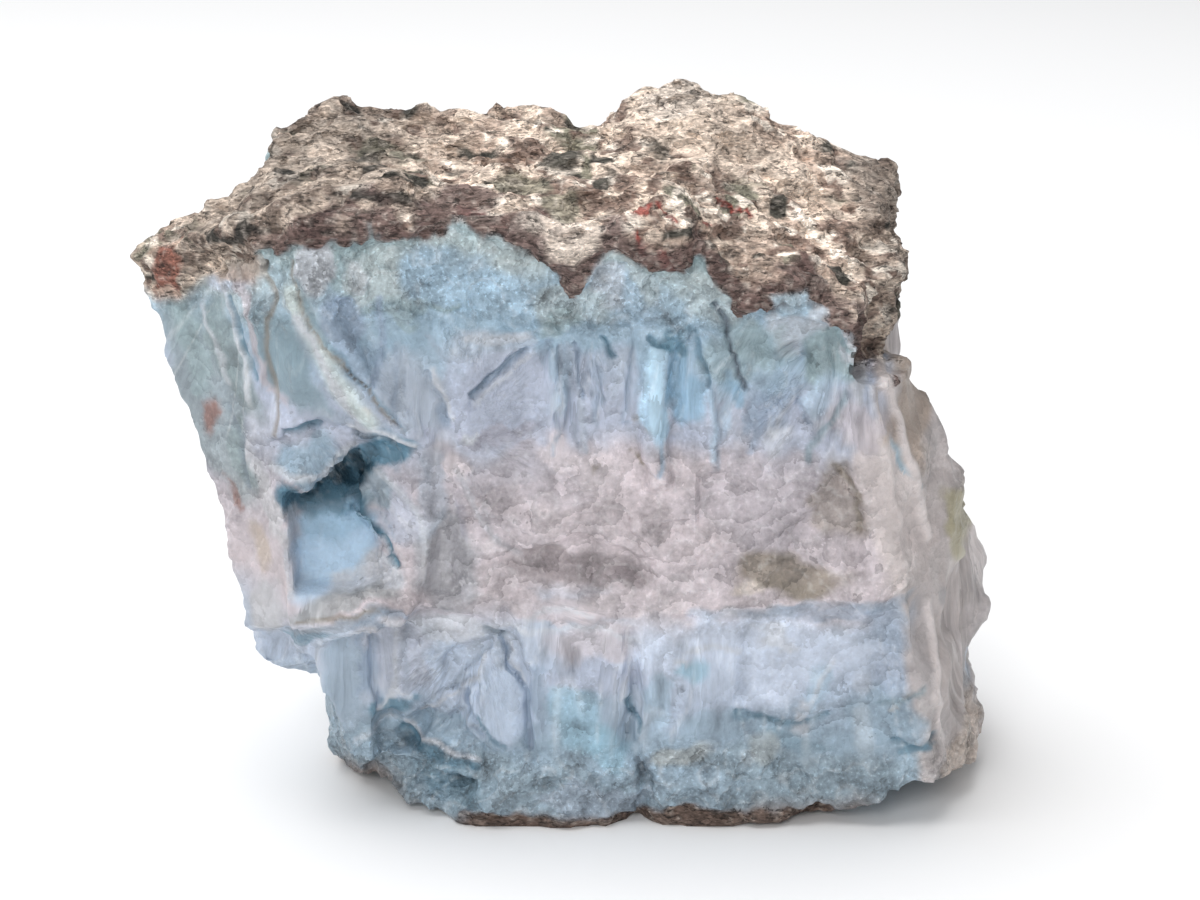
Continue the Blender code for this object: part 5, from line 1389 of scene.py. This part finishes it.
def wall_colour(points, foot):
    """The colours of the weathered wall rock: cream smears, tan and brown rock, dark and red spots."""
    x, y, z = points.T
    colour = np.tile(TONES["wall tan"], (len(points), 1))
    layered = points * WALL_LAYERED
    for tone, kind, seed, low, high in WALL_MOTTLES:
        colour = blend_tone(colour, tone, smooth_step(layer(ripple, layered, kind, seed), low, high))
    u = wandering(x, points, WALL_WAVES_X)
    v = wandering(y, points, WALL_WAVES_Y)
    for tone, cx, cy, half_x, half_y, strength in WALL_PATCHES.values():
        away = np.hypot((u - cx) / half_x, (v - cy) / half_y)
        share = strength * (1 - smooth_step(away, *WALL_PATCH_EDGE))
        colour = blend_tone(colour, tone, share * smooth_step(z, *WALL_PATCH_ABOVE))
    colour = colour * np.interp(x, *zip(*WALL_SHADE))[:, None]
    chalk = WALL_CHALK_STRENGTH * smooth_step(layer(ripple, layered, WALL_CHALK, 85), *WALL_CHALK_SPOTS)
    colour = blend_tone(colour, "wall cream", chalk * (1 - smooth_step(x, *WALL_CHALK_END)))
    # Iron-stained rock shows where the wall is broken across, along its lower edge
    height = z - np.interp(x, *zip(*CRUST_LINE)) + layer(ripple, points, WALL_EDGE_WAVES, 75)
    edge = WALL_EDGE_STRENGTH * (1 - smooth_step(height, *WALL_EDGE_BAND)) * (y < WALL_EDGE_ZONE)
    colour = blend_tone(colour, "wall maroon", edge * smooth_step(x, *WALL_EDGE_FROM))
    return blend_tone(colour, "wall umber", FOOT_STRENGTH * foot)


# The block with its flat breaks, the plate on its right, and what is missing on its left
stone = box_between("larimar_stone", *BLOCK_BOX)
break_off(stone, MAIN_BREAKS)
side_plate = box_between("side_plate", *PLATE_BOX)
break_off(side_plate, SIDE_BREAKS)
join_or_cut(stone, side_plate, "UNION")
lost_corner = box_between("lost_corner", *CORNER_BOX)
break_off(lost_corner, CORNER_BREAKS)
join_or_cut(stone, lost_corner, "DIFFERENCE")
lost_shoulder = box_between("lost_shoulder", *SHOULDER_BOX)
break_off(lost_shoulder, SHOULDER_BREAKS)
join_or_cut(stone, lost_shoulder, "DIFFERENCE")
apply_modifier(stone, "REMESH", mode="VOXEL", voxel_size=BLOCK_VOXEL * MM)

# The ledges, pits, facets and lumps, then an even skin for the fine relief
points, facing = read_points(stone.data)
write_points(stone.data, relief(points, facing))
round_off(stone, *WORN_CORNER)
join_or_cut(stone, box_between("ground", *GROUND_BOX), "DIFFERENCE")
apply_modifier(stone, "REMESH", mode="VOXEL", voxel_size=SKIN_VOXEL * MM)

# The fine relief: which kind of rock each point is, then the fibres, ledges, grains and lines of each
points, facing = read_points(stone.data)
wall, foot = wall_share(points)
sugar = sugar_share(points) * (1 - wall)
vein = 1 - wall
massive = massive_share(points)
silk = (1 - sugar) * (1 - massive) * vein
silk *= np.clip(SILK_USUAL + layer(ripple, points, SILK_PATCHES, 70), SILK_LEAST, 1)
way, distance, inside_fan = fibre_way(points)
silk *= smooth_step(distance, *ROOT_CALM) * inside_fan
fibre_ledges, fibre_edges = ledges(way, *LEDGES["fibre"])
massive_ledges, massive_edges = ledges(points, *LEDGES["massive"])
sugar_ledges, sugar_edges = ledges(points, *LEDGES["sugar"])
wall_ledges, wall_edges = ledges(points * WALL_LEDGE_SQUEEZE, *LEDGES["wall"])
fibrous = vein * (1 - massive) * (1 - sugar) * smooth_step(distance, *ROOT_CALM) * inside_fan
calm = calm_share(points)
lively = 1 - CALM_RELIEF * calm
lift = silk * lively * (layer(fracture, way, FIBRE_BLADES, 61) + layer(ripple, way, FIBRE_RIDGES, 62))
lift += vein * lively * layer(fracture, points, BREAK_STEPS, 69)
lift += lively * (fibrous * fibre_ledges + vein * massive * massive_ledges + sugar * sugar_ledges)
for _, share, drop in front_line_shares(points):
    lift -= drop * share
lift += sugar * (layer(fracture, points, SUGAR_LUMPS, 64) + layer(fracture, points, SUGAR_GRAINS, 65))
lift += wall * (wall_ledges + layer(fracture, points, WALL_GRAINS, 67))

# What the materials read at each point: its colour, its fibre's way, and its shares of wall rock,
# sugary grain, silky fibre and calm face
colour = vein_colour(points)
pale = fibrous * fibre_edges * EDGE_PALE["fibre"]
pale = np.maximum(pale, massive * massive_edges * EDGE_PALE["massive"])
pale = np.maximum(pale, sugar * sugar_edges * EDGE_PALE["sugar"])
colour = colour + (1 - colour) * (pale * lively)[:, None]
rock = wall_colour(points, foot)
rock = rock + (np.array(TONES["cream"]) - rock) * (wall_edges * EDGE_PALE["wall"])[:, None]
colour = colour * vein[:, None] + rock * wall[:, None]
tint = stone.data.attributes.new("tint", "FLOAT_COLOR", "POINT")
tint.data.foreach_set("color", np.concatenate([colour, np.ones((len(colour), 1))], axis=1).ravel())
fibre = stone.data.attributes.new("fibre", "FLOAT_VECTOR", "POINT")
fibre.data.foreach_set("vector", (way + distance[:, None] * FIBRE_DRIFT).ravel())
for name, values in {"wall": wall, "sugar": sugar, "silk": silk, "calm": calm}.items():
    mask = stone.data.attributes.new(name, "FLOAT", "POINT")
    mask.data.foreach_set("value", values)

# The standing flat stays flat, and no grain stands far out of the stone
lift = np.clip(lift, *LIFT_LIMITS)
lift *= smooth_step(points[:, 2], *FLAT_EDGE)
points = points + facing * lift[:, None]
points[:, 2] = np.where(points[:, 2] < FLAT_EDGE[0], 0, points[:, 2])
write_points(stone.data, points)

# Faces are thinned most where the stone is plain: its ends, back and underside, then its top
bpy.context.tool_settings.mesh_select_mode = (False, False, True)
for side, kept in {"side": SIDE_KEPT, "top": TOP_KEPT, "front": FRONT_KEPT}.items():
    count = len(stone.data.polygons)
    facing = np.empty(count * 3)
    middles = np.empty(count * 3)
    stone.data.polygons.foreach_get("normal", facing)
    stone.data.polygons.foreach_get("center", middles)
    facing = facing.reshape(-1, 3)
    middles = middles.reshape(-1, 3) / MM
    front = (middles[:, 1] < FRONT_ZONE) & (facing[:, 1] < FRONT_TURN) & (middles[:, 2] > FRONT_ABOVE)
    top = ~front & (facing[:, 2] > TOP_TURN) & (below_top(middles) < TOP_ZONE)
    chosen = {"front": front, "top": top, "side": ~front & ~top}[side]
    bpy.ops.object.mode_set(mode="EDIT")
    bpy.ops.mesh.select_all(action="DESELECT")
    bpy.ops.object.mode_set(mode="OBJECT")
    stone.data.polygons.foreach_set("select", chosen)
    bpy.ops.object.mode_set(mode="EDIT")
    bpy.ops.mesh.decimate(ratio=kept)
    bpy.ops.object.mode_set(mode="OBJECT")
bpy.ops.object.mode_set(mode="EDIT")
bpy.ops.mesh.select_all(action="SELECT")
bpy.ops.mesh.quads_convert_to_tris()
bpy.ops.object.mode_set(mode="OBJECT")
bpy.ops.object.shade_smooth_by_angle(angle=CREASE_ANGLE)


def node_group(name, sockets):
    """An empty shader node group: each socket has its name, whether it is an input, and its kind."""
    group = bpy.data.node_groups.new(name, "ShaderNodeTree")
    for socket, way_in, kind in sockets:
        group.interface.new_socket(socket, in_out="INPUT" if way_in else "OUTPUT", socket_type=kind)
    return group, group.nodes.new("NodeGroupInput"), group.nodes.new("NodeGroupOutput")


def add_node(tree, kind, inputs=(), **settings):
    """A node with its settings; each input is a socket's name or number and a value or a socket."""
    node = tree.nodes.new(kind)
    for name, value in settings.items():
        setattr(node, name, value)
    for name, value in dict(inputs).items():
        if isinstance(value, bpy.types.NodeSocket):
            tree.links.new(value, node.inputs[name])
        else:
            node.inputs[name].default_value = value
    return node


def math_node(tree, operation, first, second=0.0, third=0.0):
    """The result of one sum."""
    inputs = {0: first, 1: second, 2: third}
    return add_node(tree, "ShaderNodeMath", inputs, operation=operation).outputs[0]


def range_node(tree, value, low, high, to_low, to_high):
    """A value moved from one range to another."""
    inputs = {"Value": value, "From Min": low, "From Max": high, "To Min": to_low, "To Max": to_high}
    return add_node(tree, "ShaderNodeMapRange", inputs).outputs[0]


def noise_node(tree, place, scale, detail=3.0, roughness=0.55):
    """Cloudy noise between 0 and 1."""
    inputs = {"Vector": place, "Scale": scale, "Detail": detail, "Roughness": roughness}
    return add_node(tree, "ShaderNodeTexNoise", inputs).outputs["Fac"]


# Every look is flakes that overlap like shells down a slope, clouds and fine grain: how many of each a
# metre (for fibres, a millimetre), how strongly each shades, and how bright the pale specks are
LOOKS = {
    "fibre streaks": {
        "flakes": 0.20,
        "shells": 4,
        "slope": (0.14, 0, 0),
        "clouds": 0.8,
        "grain": 2.4,
        "shading": (0.34, 1.3, 0.4),
        "specks": 0.05,
    },
    "sugar grains": {
        "flakes": 0.30 / MM,
        "shells": 5,
        "slope": (200, 0, -260),
        "clouds": 0.34 / MM,
        "grain": 2.6 / MM,
        "shading": (0.42, 2.5, 0.9),
        "specks": 0.35,
    },
    "massive chips": {
        "flakes": 0.12 / MM,
        "shells": 6,
        "slope": (-90, 0, 260),
        "clouds": 0.30 / MM,
        "grain": 2.0 / MM,
        "shading": (0.36, 1.7, 0.6),
        "specks": 0.12,
    },
    "wall crumbs": {
        "flakes": 0.40 / MM,
        "shells": 6,
        "slope": (90, -260, 300),
        "clouds": 0.9 / MM,
        "grain": 3.0 / MM,
        "shading": (0.95, 3.0, 1.8),
        "specks": 0.5,
    },
}

# How high the flakes, clouds and grain each stand, which part of the grain is a speck, and the
# darkest that a look may shade
LOOK_HEIGHTS = (0.30, 0.70, 0.45)
SPECK_FROM = 0.62
SPECK_FULL = 0.68
DARKEST_SHADE = 0.15

LOOK_SOCKETS = (
    ("Place", True, "NodeSocketVector"),
    ("Shade", False, "NodeSocketFloat"),
    ("Height", False, "NodeSocketFloat"),
)
looks = {}
for name, look in LOOKS.items():
    group, given, out = node_group(name, LOOK_SOCKETS)
    place = given.outputs["Place"]
    field = noise_node(group, place, look["flakes"], 5.0, 0.6)
    fall = add_node(group, "ShaderNodeVectorMath", {0: place, 1: look["slope"]}, operation="DOT_PRODUCT")
    shells = math_node(group, "MULTIPLY_ADD", field, look["shells"], fall.outputs["Value"])
    flake = math_node(group, "FRACT", shells)
    cloud = noise_node(group, place, look["clouds"], 5.0, 0.66)
    grain = noise_node(group, place, look["grain"], 2.0, 0.6)
    shade = 1 - sum(look["shading"]) / 2
    height = 0.0
    for value, strength, lift in zip((flake, cloud, grain), look["shading"], LOOK_HEIGHTS):
        shade = math_node(group, "MULTIPLY_ADD", value, strength, shade)
        height = math_node(group, "MULTIPLY_ADD", value, lift, height)
    specks = range_node(group, grain, SPECK_FROM, SPECK_FULL, 0.0, look["specks"])
    shade = math_node(group, "MAXIMUM", math_node(group, "ADD", shade, specks), DARKEST_SHADE)
    group.links.new(shade, out.inputs["Shade"])
    group.links.new(height, out.inputs["Height"])
    looks[name] = group


def attribute(tree, name, output):
    """One of the values that the stone holds at each point."""
    return add_node(tree, "ShaderNodeAttribute", attribute_name=name).outputs[output]


def group_node(tree, group, inputs):
    """A node group in use, with its inputs linked."""
    node = tree.nodes.new("ShaderNodeGroup")
    node.node_tree = group
    for name, value in inputs.items():
        tree.links.new(value, node.inputs[name])
    return node


def scaled_colour(tree, colour, value):
    """A colour made brighter or darker by a value."""
    return add_node(tree, "ShaderNodeVectorMath", {0: colour, "Scale": value}, operation="SCALE").outputs[0]


def blend_value(tree, share, first, second):
    """The first value where the share is 0 and the second where it is 1."""
    inputs = {0: share, 2: first, 3: second}
    return add_node(tree, "ShaderNodeMix", inputs, data_type="FLOAT").outputs[0]


# The vein: silky where it is fibrous, glassy and bumpy where it is sugary
vein_paint = bpy.data.materials.new("larimar_vein")
vein_paint.use_nodes = True
tree = vein_paint.node_tree
shader = tree.nodes["Principled BSDF"]
place = add_node(tree, "ShaderNodeTexCoord").outputs["Object"]
sugary = attribute(tree, "sugar", "Fac")
silky = attribute(tree, "silk", "Fac")
streaks = group_node(tree, looks["fibre streaks"], {"Place": attribute(tree, "fibre", "Vector")})
grains = group_node(tree, looks["sugar grains"], {"Place": place})
chips = group_node(tree, looks["massive chips"], {"Place": place})
shade = blend_value(tree, silky, chips.outputs["Shade"], streaks.outputs["Shade"])
shade = blend_value(tree, sugary, shade, grains.outputs["Shade"])
even = math_node(tree, "MULTIPLY", attribute(tree, "calm", "Fac"), CALM_GRAIN)
shade = blend_value(tree, even, shade, 1.0)
cloud = range_node(tree, noise_node(tree, place, 0.32 / MM, 3.0), 0.3, 0.7, 0.92, 1.08)
bright = math_node(tree, "MULTIPLY", shade, cloud)
colour = scaled_colour(tree, attribute(tree, "tint", "Color"), bright)
tree.links.new(colour, shader.inputs["Base Color"])
tree.links.new(range_node(tree, shade, 0.7, 1.3, 0.52, 0.34), shader.inputs["Roughness"])
height = blend_value(tree, silky, chips.outputs["Height"], streaks.outputs["Height"])
height = blend_value(tree, sugary, height, grains.outputs["Height"])
bump = add_node(tree, "ShaderNodeBump", {"Height": height, "Strength": 0.9, "Distance": 0.34 * MM})
tree.links.new(bump.outputs["Normal"], shader.inputs["Normal"])
shader.inputs["Subsurface Weight"].default_value = 0.12
shader.inputs["Subsurface Radius"].default_value = (0.6, 0.8, 1.0)
shader.inputs["Subsurface Scale"].default_value = 1.0 * MM

# The wall rock: dull, crumbly and stained, with crumbs wider than they are tall
ROCK_SQUEEZE = (0.6, 0.8, 1.5)
rock_paint = bpy.data.materials.new("weathered_wall_rock")
rock_paint.use_nodes = True
tree = rock_paint.node_tree
shader = tree.nodes["Principled BSDF"]
place = add_node(tree, "ShaderNodeTexCoord").outputs["Object"]
squeezed = add_node(tree, "ShaderNodeVectorMath", {0: place, 1: ROCK_SQUEEZE}, operation="MULTIPLY")
crumb = group_node(tree, looks["wall crumbs"], {"Place": squeezed.outputs[0]})
colour = scaled_colour(tree, attribute(tree, "tint", "Color"), crumb.outputs["Shade"])
tree.links.new(colour, shader.inputs["Base Color"])
tree.links.new(range_node(tree, crumb.outputs["Shade"], 0.5, 1.6, 0.92, 0.66), shader.inputs["Roughness"])
height = crumb.outputs["Height"]
bump = add_node(tree, "ShaderNodeBump", {"Height": height, "Strength": 0.9, "Distance": 0.65 * MM})
tree.links.new(bump.outputs["Normal"], shader.inputs["Normal"])

# A face is wall rock where most of it is
stone.data.materials.clear()
stone.data.materials.append(vein_paint)
stone.data.materials.append(rock_paint)
corners = np.empty(len(stone.data.loops), dtype=np.int32)
stone.data.loops.foreach_get("vertex_index", corners)
wall = np.empty(len(stone.data.vertices))
stone.data.attributes["wall"].data.foreach_get("value", wall)
mostly_wall = (wall[corners.reshape(-1, 3)].mean(axis=1) > 0.5).astype(np.int32)
stone.data.polygons.foreach_set("material_index", mostly_wall)
stone.data.update()
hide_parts("larimar_rough")
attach(stone, "root")
